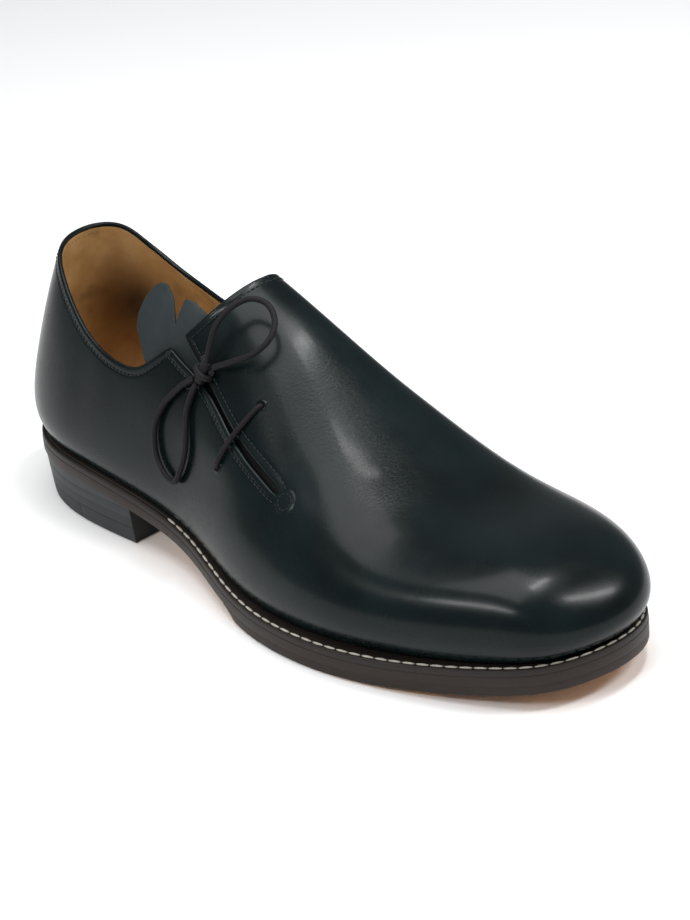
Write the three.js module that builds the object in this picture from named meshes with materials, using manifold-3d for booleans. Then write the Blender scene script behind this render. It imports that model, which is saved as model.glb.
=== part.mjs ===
// A right haferl shoe: a low mountain shoe laced down its outer side, standing empty on its sole.
// Millimetres, +Z up, +X towards the toe, +Y towards the inner side of the foot, floor at z = 0.

import * as THREE from "three";
import Module from "manifold-3d";
import { mergeVertices } from "three/addons/utils/BufferGeometryUtils.js";

const wasm = await Module();
wasm.setup();

// Sole and last
const LENGTH = 300;
const BALL_WIDTH = 106;
const INSTEP_RISE = 92;
const BACK_HEIGHT = 104;
const HEEL_HEIGHT = 20;
const HEEL_LENGTH = 85;
const HEEL_REST = 30;
const TOE_SPRING = 8.6;
const STEP_AT = 155;
const STEP_BEVEL = 8;

// Layers, from the floor up
const TOP_PIECE = 7;
const HALF_SOLE = 3.6;
const OUTSOLE = 3.8;
const WELT = 2.6;
const INSOLE = 3;
const GAP = 0.3;

// Leather of the upper
const WALL = 1.9;
const TONGUE_WALL = 1.6;
const STRIP_WALL = 1.1;
const STRIP_WIDTH = 15;
const WELT_LEDGE = 6.5;
const BULGE = 5.5;
const BULGE_HEIGHT = 15;
const LEAN = 11;
const LEAN_HEIGHT = 75;
const RAIL_SOFTNESS = 10;
const WELT_LAP = 3;

// Heel
const HEEL_TAPER = 1.8;
const BREAST_DEPTH = 6;
const RUBBER_SHARE = 0.6;
const EDGE_INSET = 0.5;

// Slit, eyelets and lace
const SLIT_WIDTH = 5;
const EYELET_RADIUS = 1.7;
const LACE_DIAMETER = 2.4;
const LACE_SIDES = 8;

// Fineness of the curved pieces
const COLUMNS = 80;
const ROWS = 13;
const ROW_CROWDING = 1.25;

// Edge of the sole in plan: at is the share of the length, the sides are shares of the ball width
const OUTLINE = [
  { at: 0, lateral: 0.028, medial: 0.028 },
  { at: 0.02, lateral: -0.175, medial: 0.228 },
  { at: 0.073, lateral: -0.315, medial: 0.341 },
  { at: 0.167, lateral: -0.384, medial: 0.373 },
  { at: 0.283, lateral: -0.377, medial: 0.311 },
  { at: 0.4, lateral: -0.382, medial: 0.264 },
  { at: 0.517, lateral: -0.472, medial: 0.321 },
  { at: 0.633, lateral: -0.519, medial: 0.443 },
  { at: 0.733, lateral: -0.486, medial: 0.5 },
  { at: 0.833, lateral: -0.393, medial: 0.481 },
  { at: 0.917, lateral: -0.279, medial: 0.409 },
  { at: 0.97, lateral: -0.169, medial: 0.311 },
  { at: 1, lateral: 0.085, medial: 0.085 },
];

// Sections of the last: rise and centre of the ridge as shares of instep rise and ball width,
// squareness of each side, and shares of the welt's ledge, the bulge and the lean
const SECTIONS = [
  { at: 0, rise: 1.34, centre: 0.028, lateral: 3.4, medial: 3.4, ledge: 0.54, bulge: 0.87, lean: 1 },
  { at: 0.02, rise: 1.34, centre: 0.028, lateral: 3.4, medial: 3.4, ledge: 0.54, bulge: 0.87, lean: 1.05 },
  { at: 0.073, rise: 1.34, centre: 0.028, lateral: 3.4, medial: 3.4, ledge: 0.54, bulge: 0.87, lean: 1.15 },
  { at: 0.167, rise: 1.24, centre: 0.028, lateral: 3.2, medial: 3.2, ledge: 0.54, bulge: 0.73, lean: 1.2 },
  { at: 0.283, rise: 1.12, centre: 0.038, lateral: 2.4, medial: 2.6, ledge: 0.5, bulge: 0.55, lean: 0.5 },
  { at: 0.4, rise: 1.018, centre: 0.057, lateral: 2, medial: 2.9, ledge: 0.54, bulge: 0.58, lean: 0 },
  { at: 0.517, rise: 0.874, centre: 0.085, lateral: 2, medial: 3.1, ledge: 0.73, bulge: 0.6, lean: 0 },
  { at: 0.633, rise: 0.624, centre: 0.104, lateral: 2.3, medial: 3.4, ledge: 0.92, bulge: 0.73, lean: 0 },
  { at: 0.733, rise: 0.44, centre: 0.113, lateral: 3.1, medial: 3.6, ledge: 1, bulge: 1, lean: 0 },
  { at: 0.833, rise: 0.386, centre: 0.113, lateral: 3.5, medial: 3.8, ledge: 0.92, bulge: 1.12, lean: 0 },
  { at: 0.917, rise: 0.362, centre: 0.113, lateral: 3.7, medial: 3.9, ledge: 0.72, bulge: 1.1, lean: 0 },
  { at: 0.97, rise: 0.28, centre: 0.113, lateral: 3.7, medial: 3.9, ledge: 0.6, bulge: 1.1, lean: 0 },
  { at: 1, rise: 0.18, centre: 0.113, lateral: 3.7, medial: 3.9, ledge: 0.55, bulge: 1.1, lean: 0 },
];

// Edge of the collar from the heel to the throat's peak: shares of the length and the back height
const COLLAR = [
  { at: -0.1, lateral: 1.01, medial: 1.01 },
  { at: 0.06, lateral: 1, medial: 0.99 },
  { at: 0.1, lateral: 0.95, medial: 0.89 },
  { at: 0.15, lateral: 0.86, medial: 0.805 },
  { at: 0.21, lateral: 0.768, medial: 0.76 },
  { at: 0.26, lateral: 0.725, medial: 0.75 },
  { at: 0.3, lateral: 0.725, medial: 0.77 },
  { at: 0.34, lateral: 0.802, medial: 0.83 },
  { at: 0.38, lateral: 0.905, medial: 0.93 },
  { at: 0.417, lateral: 1.045, medial: 1.045 },
  { at: 0.43, lateral: 1.11, medial: 1.11 },
];

// The slit on the outer side, from the throat down to its end, in the same shares. It gapes at the
// throat and closes under the bow; gap is the share of the slit's width
const SLIT = [
  { at: 0.342, height: 0.889, gap: 2 },
  { at: 0.38, height: 0.82, gap: 1.4 },
  { at: 0.431, height: 0.743, gap: 0.72 },
  { at: 0.5, height: 0.627, gap: 0.68 },
  { at: 0.601, height: 0.508, gap: 0.48 },
];

// The two pairs of eyelets: place along the slit, distance from its middle as a share of ball width
const EYELETS = [
  { along: 0.375, margin: 0.055 },
  { along: 0.75, margin: 0.121 },
];

// The bow: middles of the lace's two loops from the knot and back, and the middle of the knot
const UPPER_LOOP = [
  [129.6, -26.6, 87.3],
  [130.2, -25, 93],
  [130.8, -21.7, 100.4],
  [133.1, -15.7, 106.3],
  [136.9, -9.2, 108.7],
  [142.4, -5.9, 107],
  [148.4, -7.8, 102.6],
  [150.7, -12.8, 97.8],
  [148.3, -18.7, 93.5],
  [141, -23.4, 89.8],
  [133.4, -26.6, 86.4],
];
const LOWER_LOOP = [
  [123.4, -28.8, 80],
  [118, -30.2, 76.2],
  [113.5, -31.8, 71.8],
  [109.5, -33.3, 67.3],
  [105.9, -35.7, 59.5],
  [105.7, -37.4, 52.5],
  [108.1, -38.8, 45.6],
  [113.6, -39.8, 40.6],
  [119.2, -40.2, 40],
  [122.5, -39.5, 44.9],
  [124.5, -37.4, 53.5],
  [123.4, -35.1, 60.9],
  [122.2, -33, 67],
  [123.2, -31, 73],
  [125.4, -29.3, 78.6],
];
const KNOT = [128, -27.7, 83.4];
const KNOT_SIZE = [11, 5.6, 7];

// Side view of the tongue: two lobes above the collar, a leaf under the slit, in the same shares
const TONGUE = [
  { at: 0.63, height: 0.5 },
  { at: 0.6, height: 0.44 },
  { at: 0.5, height: 0.54 },
  { at: 0.4, height: 0.63 },
  { at: 0.32, height: 0.7 },
  { at: 0.297, height: 0.79 },
  { at: 0.281, height: 0.87 },
  { at: 0.284, height: 0.94 },
  { at: 0.295, height: 0.992 },
  { at: 0.311, height: 1.012 },
  { at: 0.327, height: 0.975 },
  { at: 0.345, height: 0.88 },
  { at: 0.346, height: 0.93 },
  { at: 0.348, height: 0.978 },
  { at: 0.362, height: 0.972 },
  { at: 0.39, height: 0.94 },
  { at: 0.47, height: 0.83 },
  { at: 0.56, height: 0.67 },
  { at: 0.62, height: 0.57 },
];

// Periodic cubic spline through one column of a table, over the angle that runs round the sole:
// 0 at the heel, up the lateral side to PI at the toe, and back along the medial side
function aroundSole(table, lateralColumn, medialColumn) {
  const knots = [];
  for (const row of table) {
    knots.push([Math.acos(1 - 2 * row.at), row[lateralColumn]]);
  }
  for (let i = table.length - 2; i > 0; i -= 1) {
    knots.push([2 * Math.PI - Math.acos(1 - 2 * table[i].at), table[i][medialColumn]]);
  }
  const n = knots.length;
  const step = (i) => {
    const next = i + 1 < n ? knots[i + 1][0] : knots[0][0] + 2 * Math.PI;
    return next - knots[i][0];
  };
  const value = (i) => knots[(i + n) % n][1];
  const bends = solveRing(n, (i) => {
    const before = step((i + n - 1) % n);
    const after = step(i);
    const right = 6 * ((value(i + 1) - value(i)) / after - (value(i) - value(i - 1)) / before);
    return { before, after, right };
  });
  return (angle) => {
    const turn = 2 * Math.PI;
    const a = ((angle % turn) + turn) % turn;
    let i = 0;
    while (i < n - 1 && knots[i + 1][0] <= a) {
      i += 1;
    }
    const h = step(i);
    const u = a - knots[i][0];
    const w = h - u;
    const bendHere = bends[i];
    const bendNext = bends[(i + 1) % n];
    const cubic = (bendHere * w ** 3 + bendNext * u ** 3) / (6 * h);
    const line = (value(i) / h - (bendHere * h) / 6) * w + (value(i + 1) / h - (bendNext * h) / 6) * u;
    return cubic + line;
  };
}

// Second derivatives of a periodic spline, by elimination on the ring of its equations
function solveRing(n, equation) {
  const rows = [];
  for (let i = 0; i < n; i += 1) {
    const { before, after, right } = equation(i);
    const row = new Array(n + 1).fill(0);
    row[(i + n - 1) % n] += before;
    row[i] += 2 * (before + after);
    row[(i + 1) % n] += after;
    row[n] = right;
    rows.push(row);
  }
  for (let i = 0; i < n; i += 1) {
    for (let j = i + 1; j < n; j += 1) {
      const factor = rows[j][i] / rows[i][i];
      for (let k = i; k <= n; k += 1) {
        rows[j][k] -= factor * rows[i][k];
      }
    }
  }
  const result = new Array(n).fill(0);
  for (let i = n - 1; i >= 0; i -= 1) {
    let sum = rows[i][n];
    for (let k = i + 1; k < n; k += 1) {
      sum -= rows[i][k] * result[k];
    }
    result[i] = sum / rows[i][i];
  }
  return result;
}

const edgeShare = aroundSole(OUTLINE, "lateral", "medial");
const riseShare = aroundSole(SECTIONS, "rise", "rise");
const centreShare = aroundSole(SECTIONS, "centre", "centre");
const squareness = aroundSole(SECTIONS, "lateral", "medial");
const ledgeShare = aroundSole(SECTIONS, "ledge", "ledge");
const bulgeShare = aroundSole(SECTIONS, "bulge", "bulge");
const leanShare = aroundSole(SECTIONS, "lean", "lean");

const smoothStep = (u) => {
  const t = Math.min(Math.max(u, 0), 1);
  return t * t * (3 - 2 * t);
};
const softPlus = (u) => RAIL_SOFTNESS * Math.log1p(Math.exp(u / RAIL_SOFTNESS));
const angleAt = (x) => Math.acos(Math.min(Math.max(1 - (2 * x) / LENGTH, -1), 1));
const alongSole = (angle) => (LENGTH / 2) * (1 - Math.cos(angle));

// Underside of the outsole: level over the heel, down through the waist, and up at the toe
function soleUnder(x) {
  const waist = 1 - smoothStep((x / LENGTH - 0.15) / 0.45);
  const spring = Math.max(x / LENGTH - 0.683, 0) / 0.317;
  return HALF_SOLE + GAP + (HEEL_HEIGHT - HALF_SOLE - GAP) * waist + TOE_SPRING * spring * spring;
}

const weltUnder = (x) => soleUnder(x) + OUTSOLE + GAP;
const weltTop = (x) => weltUnder(x) + WELT;
const upperFoot = (x) => weltTop(x) + GAP;

// A point of the sole's edge moved inwards by inset, in plan
function edgePoint(angle, inset) {
  const small = 0.001;
  const across = (BALL_WIDTH * (edgeShare(angle + small) - edgeShare(angle - small))) / (2 * small);
  const along = (LENGTH / 2) * Math.sin(angle);
  const size = Math.hypot(along, across);
  const x = alongSole(angle) - (across / size) * inset;
  const y = BALL_WIDTH * edgeShare(angle) + (along / size) * inset;
  return [x, y];
}

// A point of the last's surface, offset inwards by depth: angle runs round the sole and climb goes
// from 0 at the foot of the wall to PI / 2 on the ridge, along a rounded square quarter
function lastPoint(angle, climb, depth) {
  const foot = edgePoint(angle, WELT_LEDGE * ledgeShare(angle) + depth);
  const reach = alongSole(angle);
  const ridgeX = 0.153 * LENGTH + softPlus(reach - 0.153 * LENGTH) - softPlus(reach - 0.793 * LENGTH);
  const ridgeY = BALL_WIDTH * centreShare(angleAt(ridgeX));
  const power = squareness(angle);
  const cos = Math.max(Math.cos(climb), 0);
  const sin = Math.sin(climb);
  const radius = (cos ** power + sin ** power) ** (-1 / power);
  const inwards = 1 - cos * radius;
  const upwards = sin * radius;
  const toRidge = [ridgeX - foot[0], ridgeY - foot[1]];
  const span = Math.hypot(toRidge[0], toRidge[1]);
  const x = foot[0] + toRidge[0] * inwards;
  const y = foot[1] + toRidge[1] * inwards;
  const rise = (INSTEP_RISE * riseShare(angleAt(x)) - depth) * upwards;
  const swell = BULGE * bulgeShare(angle) * (rise / BULGE_HEIGHT) * Math.exp(1 - rise / BULGE_HEIGHT);
  const lean = LEAN * leanShare(angle) * (rise / LEAN_HEIGHT) ** 2;
  const out = ((swell - lean) * Math.sqrt(1 - inwards)) / span;
  return [x - toRidge[0] * out, y - toRidge[1] * out, upperFoot(x) + rise];
}

// A closed mesh from triangles of points; doubled points are merged and flat triangles dropped
function meshOf(triangles) {
  const positions = new Float32Array(triangles.flat(2));
  const loose = new THREE.BufferGeometry();
  loose.setAttribute("position", new THREE.BufferAttribute(positions, 3));
  const merged = mergeVertices(loose, 0.001);
  const index = [];
  const all = merged.index.array;
  for (let i = 0; i < all.length; i += 3) {
    const corners = [all[i], all[i + 1], all[i + 2]];
    if (new Set(corners).size === 3) {
      index.push(...corners);
    }
  }
  merged.setIndex(index);
  return merged;
}

const quad = (a, b, c, d) => [
  [a, b, c],
  [a, c, d],
];

function solidOf(geometry) {
  const plain = geometry.clone();
  plain.deleteAttribute("normal");
  plain.deleteAttribute("uv");
  const merged = mergeVertices(plain, 0.0001);
  const mesh = new wasm.Mesh({
    numProp: 3,
    vertProperties: new Float32Array(merged.attributes.position.array),
    triVerts: new Uint32Array(merged.index.array),
  });
  return new wasm.Manifold(mesh);
}

function geometryOf(solid) {
  const mesh = solid.getMesh();
  const geometry = new THREE.BufferGeometry();
  geometry.setAttribute("position", new THREE.BufferAttribute(mesh.vertProperties, 3));
  geometry.setIndex(new THREE.BufferAttribute(mesh.triVerts, 1));
  return geometry;
}

// The whole last as a closed form, its foot lowered by drop below the wall's own foot
function lastSolid(depth, drop) {
  const rings = [];
  for (let row = 0; row <= ROWS; row += 1) {
    const ring = [];
    for (let column = 0; column < COLUMNS; column += 1) {
      const climb = (Math.PI / 2) * (row / ROWS) ** ROW_CROWDING;
      ring.push(lastPoint((2 * Math.PI * column) / COLUMNS, climb, depth));
    }
    rings.push(ring);
  }
  if (drop > 0) {
    rings.unshift(rings[0].map(([x, y, z]) => [x, y, z - drop]));
  }
  const triangles = [];
  for (let row = 0; row < rings.length - 1; row += 1) {
    for (let column = 0; column < COLUMNS; column += 1) {
      const next = (column + 1) % COLUMNS;
      const [low, high] = [rings[row], rings[row + 1]];
      triangles.push(...quad(low[column], low[next], high[next], high[column]));
    }
  }
  const foot = rings[0];
  for (let column = 0; column < COLUMNS / 2; column += 1) {
    const mate = (COLUMNS - column) % COLUMNS;
    triangles.push(...quad(foot[column], foot[mate], foot[mate - 1 < 0 ? COLUMNS - 1 : mate - 1], foot[column + 1]));
  }
  return solidOf(meshOf(triangles));
}

// A plate across the sole between two stations: inset and height of its lower and upper faces
function plate(from, to, low, high) {
  const start = angleAt(from);
  const end = angleAt(to);
  const count = Math.max(4, Math.round((COLUMNS * (end - start)) / (2 * Math.PI)));
  const loops = [];
  for (let i = 0; i <= count; i += 1) {
    const angle = start + ((end - start) * i) / count;
    const loop = [];
    for (const [side, face] of [[-1, low], [1, low], [1, high], [-1, high]]) {
      const [x, y] = edgePoint(side < 0 ? angle : 2 * Math.PI - angle, face.inset);
      loop.push([x, y, face.height(x)]);
    }
    loops.push(loop);
  }
  const triangles = [];
  for (let i = 0; i < count; i += 1) {
    for (let j = 0; j < 4; j += 1) {
      const k = (j + 1) % 4;
      triangles.push(...quad(loops[i][k], loops[i + 1][k], loops[i + 1][j], loops[i][j]));
    }
  }
  const first = loops[0];
  const last = loops[count];
  triangles.push(...quad(first[3], first[2], first[1], first[0]));
  triangles.push(...quad(last[0], last[1], last[2], last[3]));
  return solidOf(meshOf(triangles));
}

// A prism with its outline in the side view, from one y to another
function sidePrism(points, fromY, toY) {
  const shape = new THREE.Shape(points.map(([x, z]) => new THREE.Vector2(x, z)));
  const geometry = new THREE.ExtrudeGeometry(shape, { depth: toY - fromY, bevelEnabled: false });
  geometry.rotateX(Math.PI / 2);
  geometry.translate(0, toY, 0);
  return solidOf(geometry);
}

function smoothLine(points, closed, steps) {
  const curve = new THREE.CatmullRomCurve3(
    points.map(([x, z]) => new THREE.Vector3(x, z, 0)),
    closed,
    "centripetal",
  );
  const line = curve.getPoints(steps).map((p) => [p.x, p.y]);
  return closed ? line.slice(0, -1) : line;
}

// Side view of everything above one side of the collar
function aboveCollar(column) {
  const rows = COLLAR.map((row) => [row.at * LENGTH, row[column] * BACK_HEIGHT]);
  const line = smoothLine(rows, false, 30);
  const last = line[line.length - 1];
  return [...line, [last[0], 2 * BACK_HEIGHT], [line[0][0], 2 * BACK_HEIGHT]];
}

const slitLine = smoothLine(
  SLIT.map((row) => [row.at * LENGTH, row.height * BACK_HEIGHT]),
  false,
  12,
);

// Width of the slit at a share of its length
function slitWidth(share) {
  const place = share * (SLIT.length - 1);
  const row = Math.min(Math.floor(place), SLIT.length - 2);
  const gap = SLIT[row].gap + (SLIT[row + 1].gap - SLIT[row].gap) * (place - row);
  return gap * SLIT_WIDTH;
}

// Both edges of the slit, from the throat to its lower end
function slitOutline() {
  const left = [];
  const right = [];
  slitLine.forEach(([x, z], i) => {
    const before = slitLine[Math.max(i - 1, 0)];
    const after = slitLine[Math.min(i + 1, slitLine.length - 1)];
    const size = Math.hypot(after[0] - before[0], after[1] - before[1]);
    const normal = [-(after[1] - before[1]) / size, (after[0] - before[0]) / size];
    const half = slitWidth(i / (slitLine.length - 1)) / 2;
    left.push([x + normal[0] * half, z + normal[1] * half]);
    right.push([x - normal[0] * half, z - normal[1] * half]);
  });
  return [...right, ...left.reverse()];
}

// The point of the last's lateral side at a place in the side view, found by halving the climb
function lateralPoint(x, z, depth) {
  let angle = angleAt(x);
  let climb = 0;
  for (let pass = 0; pass < 8; pass += 1) {
    let low = 0;
    let high = Math.PI / 2;
    for (let i = 0; i < 24; i += 1) {
      climb = (low + high) / 2;
      if (lastPoint(angle, climb, depth)[2] < z) {
        low = climb;
      } else {
        high = climb;
      }
    }
    const miss = x - lastPoint(angle, climb, depth)[0];
    angle = angleAt(alongSole(angle) + miss);
  }
  const small = 0.01;
  const here = new THREE.Vector3(...lastPoint(angle, climb, depth));
  const ahead = new THREE.Vector3(...lastPoint(angle + small, climb, depth)).sub(here);
  const above = new THREE.Vector3(...lastPoint(angle, climb + small, depth)).sub(here);
  return { point: here, normal: ahead.cross(above).normalize() };
}

// A pair's two eyelets below and above the slit, with the place between them
function eyeletPair({ along, margin }) {
  const i = Math.round(along * (slitLine.length - 1));
  const [x, z] = slitLine[i];
  const [nextX, nextZ] = slitLine[i + 1];
  const size = Math.hypot(nextX - x, nextZ - z);
  const across = [-(nextZ - z) / size, (nextX - x) / size];
  const away = margin * BALL_WIDTH;
  const [lower, middle, upper] = [-away, 0, away].map((reach) =>
    lateralPoint(x + across[0] * reach, z + across[1] * reach, 0),
  );
  return { lower, middle, upper };
}

const lastCentre = 0.028 * BALL_WIDTH;
const farSide = BALL_WIDTH;

function makeUpper() {
  let upper = lastSolid(0, 0).subtract(lastSolid(WALL, WELT));
  const lateralCut = sidePrism(aboveCollar("lateral"), -farSide, lastCentre + GAP);
  const medialCut = sidePrism(aboveCollar("medial"), lastCentre, farSide);
  upper = upper.subtract(lateralCut.add(medialCut).add(sidePrism(slitOutline(), -farSide, 0)));
  for (const pair of EYELETS) {
    const { lower, upper: higher } = eyeletPair(pair);
    for (const { point, normal } of [lower, higher]) {
      const hole = new THREE.CylinderGeometry(EYELET_RADIUS, EYELET_RADIUS, 6 * WALL, 10);
      hole.applyQuaternion(new THREE.Quaternion().setFromUnitVectors(new THREE.Vector3(0, 1, 0), normal));
      hole.translate(point.x, point.y, point.z);
      upper = upper.subtract(solidOf(hole));
    }
  }
  return geometryOf(upper);
}

function makeTongue() {
  const outline = smoothLine(
    TONGUE.map((row) => [row.at * LENGTH, row.height * BACK_HEIGHT]),
    true,
    48,
  );
  const skin = lastSolid(WALL + GAP, 0).subtract(lastSolid(WALL + GAP + TONGUE_WALL, WELT));
  return geometryOf(skin.intersect(sidePrism(outline, -farSide, -WALL)));
}

function makeBackStrip() {
  const skin = lastSolid(-GAP - STRIP_WALL, 0).subtract(lastSolid(-GAP, WELT));
  const low = upperFoot(0) - GAP / 2;
  const high = 0.965 * BACK_HEIGHT;
  const side = STRIP_WIDTH / 2;
  const band = new THREE.BoxGeometry(0.2 * LENGTH, 2 * side, high - low);
  band.translate(0, lastCentre, (low + high) / 2);
  return geometryOf(skin.intersect(solidOf(band)));
}

function makeOutsole() {
  const low = { inset: 0, height: soleUnder };
  const high = { inset: 0, height: (x) => soleUnder(x) + OUTSOLE };
  return geometryOf(plate(0, LENGTH, low, high));
}

function makeHalfSole() {
  const top = (x) => soleUnder(x) - GAP;
  const bevel = (x) => Math.min(Math.max((x - STEP_AT) / STEP_BEVEL, 0.15), 1);
  const low = { inset: 0, height: (x) => top(x) - HALF_SOLE * bevel(x) };
  const high = { inset: 0, height: top };
  const slope = plate(STEP_AT, STEP_AT + STEP_BEVEL, low, high);
  return geometryOf(slope.add(plate(STEP_AT + STEP_BEVEL, LENGTH, low, high)));
}

function makeWelt() {
  const low = { inset: EDGE_INSET, height: weltUnder };
  const high = { inset: EDGE_INSET, height: weltTop };
  const hole = WELT_LEDGE + WALL + WELT_LAP;
  const inner = (height) => ({ inset: hole, height });
  const opening = plate(0, LENGTH, inner((x) => weltUnder(x) - 1), inner((x) => weltTop(x) + 1));
  return geometryOf(plate(0, LENGTH, low, high).subtract(opening));
}

function makeInsole() {
  const inset = WELT_LEDGE + WALL + 2 * GAP;
  const low = { inset, height: upperFoot };
  const high = { inset, height: (x) => upperFoot(x) + INSOLE };
  return geometryOf(plate(0, LENGTH, low, high));
}

// The heel's layers share one tapered form with a hollow breast
function heelSlice(low, high) {
  const height = HEEL_HEIGHT - GAP;
  const insetAt = (z) => EDGE_INSET + HEEL_TAPER * (1 - z / height);
  const lowFace = { inset: insetAt(low), height: () => low };
  const highFace =
    high === height
      ? { inset: insetAt(height), height: (x) => soleUnder(x) - GAP }
      : { inset: insetAt(high), height: () => high };
  const halfWidth = 0.36 * BALL_WIDTH;
  const radius = (halfWidth ** 2 + BREAST_DEPTH ** 2) / (2 * BREAST_DEPTH);
  const hollow = new THREE.CylinderGeometry(radius, radius, 4 * HEEL_HEIGHT, 90);
  hollow.rotateX(Math.PI / 2);
  hollow.translate(HEEL_LENGTH - BREAST_DEPTH + radius, 0, 0);
  return plate(0, HEEL_LENGTH, lowFace, highFace).subtract(solidOf(hollow));
}

const jointX = RUBBER_SHARE * HEEL_LENGTH;

function makeHeelStack() {
  return geometryOf(heelSlice(TOP_PIECE + GAP, HEEL_HEIGHT - GAP));
}

function makeTopPiece(front) {
  const reach = new THREE.BoxGeometry(LENGTH, 2 * farSide, 4 * HEEL_HEIGHT);
  reach.translate(front ? jointX + GAP / 2 + LENGTH / 2 : jointX - GAP / 2 - LENGTH / 2, 0, 0);
  return geometryOf(heelSlice(0, TOP_PIECE).intersect(solidOf(reach)));
}

// A lace along points, as a tube with flat ends
function laceTube(points) {
  const curve = new THREE.CatmullRomCurve3(
    points.map(([x, y, z]) => new THREE.Vector3(x, y, z)),
    false,
    "centripetal",
  );
  const section = new THREE.Shape();
  for (let i = 0; i < LACE_SIDES; i += 1) {
    const turn = (2 * Math.PI * i) / LACE_SIDES;
    const [u, v] = [(LACE_DIAMETER / 2) * Math.cos(turn), (LACE_DIAMETER / 2) * Math.sin(turn)];
    if (i === 0) {
      section.moveTo(u, v);
    } else {
      section.lineTo(u, v);
    }
  }
  const steps = Math.max(4, Math.round(curve.getLength() / (2.5 * LACE_DIAMETER)));
  return new THREE.ExtrudeGeometry(section, { steps, extrudePath: curve, bevelEnabled: false });
}

// The crossing between the lower pair of eyelets, lying on the leather on both sides of the slit
function makeLaceBar() {
  const { lower, middle, upper } = eyeletPair(EYELETS[1]);
  const standOff = LACE_DIAMETER / 2 + 2 * GAP;
  const points = [lower, middle, upper].map(({ point, normal }, i) => {
    const extra = i === 1 ? GAP : 0;
    return point.clone().addScaledVector(normal, standOff + extra).toArray();
  });
  return laceTube(points);
}

function makeKnot() {
  const knot = new THREE.SphereGeometry(0.5, 12, 8);
  knot.scale(...KNOT_SIZE);
  knot.translate(...KNOT);
  return geometryOf(solidOf(knot));
}

const finishes = {
  blackCalf: new THREE.MeshStandardMaterial({ color: 0x24292b, roughness: 0.35, metalness: 0 }),
  tongueCalf: new THREE.MeshStandardMaterial({ color: 0x34383a, roughness: 0.55, metalness: 0 }),
  darkEdge: new THREE.MeshStandardMaterial({ color: 0x3a3532, roughness: 0.6, metalness: 0 }),
  weltEdge: new THREE.MeshStandardMaterial({ color: 0x2b2a29, roughness: 0.65, metalness: 0 }),
  soleLeather: new THREE.MeshStandardMaterial({ color: 0xc49050, roughness: 0.6, metalness: 0 }),
  heelRubber: new THREE.MeshStandardMaterial({ color: 0x26282a, roughness: 0.75, metalness: 0 }),
  lining: new THREE.MeshStandardMaterial({ color: 0xa0753f, roughness: 0.75, metalness: 0 }),
  lace: new THREE.MeshStandardMaterial({ color: 0x2a2629, roughness: 0.8, metalness: 0 }),
};

// The origin is the middle of the heel's level underside
const shoe = new THREE.Group();
shoe.position.x = -HEEL_REST;

function addPiece(name, geometry, finish) {
  geometry.computeVertexNormals();
  const mesh = new THREE.Mesh(geometry, finish);
  mesh.name = name;
  shoe.add(mesh);
}

addPiece("upper", makeUpper(), finishes.blackCalf);
addPiece("back_strip", makeBackStrip(), finishes.blackCalf);
addPiece("tongue", makeTongue(), finishes.tongueCalf);
addPiece("insole", makeInsole(), finishes.lining);
addPiece("welt", makeWelt(), finishes.weltEdge);
addPiece("outsole", makeOutsole(), finishes.soleLeather);
addPiece("half_sole", makeHalfSole(), finishes.soleLeather);
addPiece("heel_stack", makeHeelStack(), finishes.darkEdge);
addPiece("heel_top_rubber", makeTopPiece(false), finishes.heelRubber);
addPiece("heel_top_leather", makeTopPiece(true), finishes.heelRubber);
addPiece("lace_bar", makeLaceBar(), finishes.lace);
addPiece("lace_knot", makeKnot(), finishes.lace);
addPiece("lace_loop_upper", laceTube(UPPER_LOOP), finishes.lace);
addPiece("lace_loop_lower", laceTube(LOWER_LOOP), finishes.lace);

export default shoe;
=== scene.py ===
import math

import bmesh
import bpy
import numpy as np
from mathutils import Matrix


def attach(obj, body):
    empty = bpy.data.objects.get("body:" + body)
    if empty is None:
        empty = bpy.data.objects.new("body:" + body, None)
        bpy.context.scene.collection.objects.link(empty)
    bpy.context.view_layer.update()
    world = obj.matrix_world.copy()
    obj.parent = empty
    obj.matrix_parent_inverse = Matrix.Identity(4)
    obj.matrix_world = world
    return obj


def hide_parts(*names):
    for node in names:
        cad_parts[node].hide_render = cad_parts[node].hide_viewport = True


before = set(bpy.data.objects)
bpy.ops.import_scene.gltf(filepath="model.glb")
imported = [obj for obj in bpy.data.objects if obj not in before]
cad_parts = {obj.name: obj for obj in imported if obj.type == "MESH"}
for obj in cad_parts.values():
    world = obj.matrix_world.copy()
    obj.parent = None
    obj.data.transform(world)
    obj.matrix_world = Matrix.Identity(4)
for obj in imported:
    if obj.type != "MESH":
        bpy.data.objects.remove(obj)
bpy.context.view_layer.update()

heelRest = 30.0  # mm from the back of the sole to the origin, as in the source
print("frame loaded:", len(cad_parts), "nodes")


# Camera, light and floor

camera = {
    "azimuth": 51.74,
    "elevation": 26.89,
    "roll": -5.58,
    "distance": 1.0,
    "target": (0.120, 0.0, 0.040),
    "aim": (0.01356, 0.00285),  # right and up, per metre of depth, to the middle of the shoe
    "lens": 104.4,
}
light = {
    "world": "#d9dbde",
    "worldStrength": 0.38,
    # name, place, where it points, direction of its long side, length, width, watts
    "softboxes": [
        ("overhead", (0.03, -0.14, 1.50), (0.11, -0.01, 0.0), (0, 1, 0), 1.16, 0.98, 16.5),
        ("instep", (0.29, 0.25, 1.18), (0.15, 0.0, 0.08), (-0.15, 0.97, -0.2), 0.37, 0.08, 4.0),
        ("toeOuter", (0.21, -0.80, 0.75), (0.24, -0.03, 0.04), (1, 0, 0.1), 0.56, 0.11, 4.2),
        ("toeInner", (0.70, 0.42, 0.73), (0.26, 0.0, 0.04), (-0.11, -0.82, 0.57), 0.45, 0.09, 4.2),
    ],
}


def colour(code):
    parts = [int(code[i:i + 2], 16) / 255 for i in (1, 3, 5)]
    return tuple(c / 12.92 if c <= 0.04045 else ((c + 0.055) / 1.055) ** 2.4 for c in parts) + (1.0,)


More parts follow.
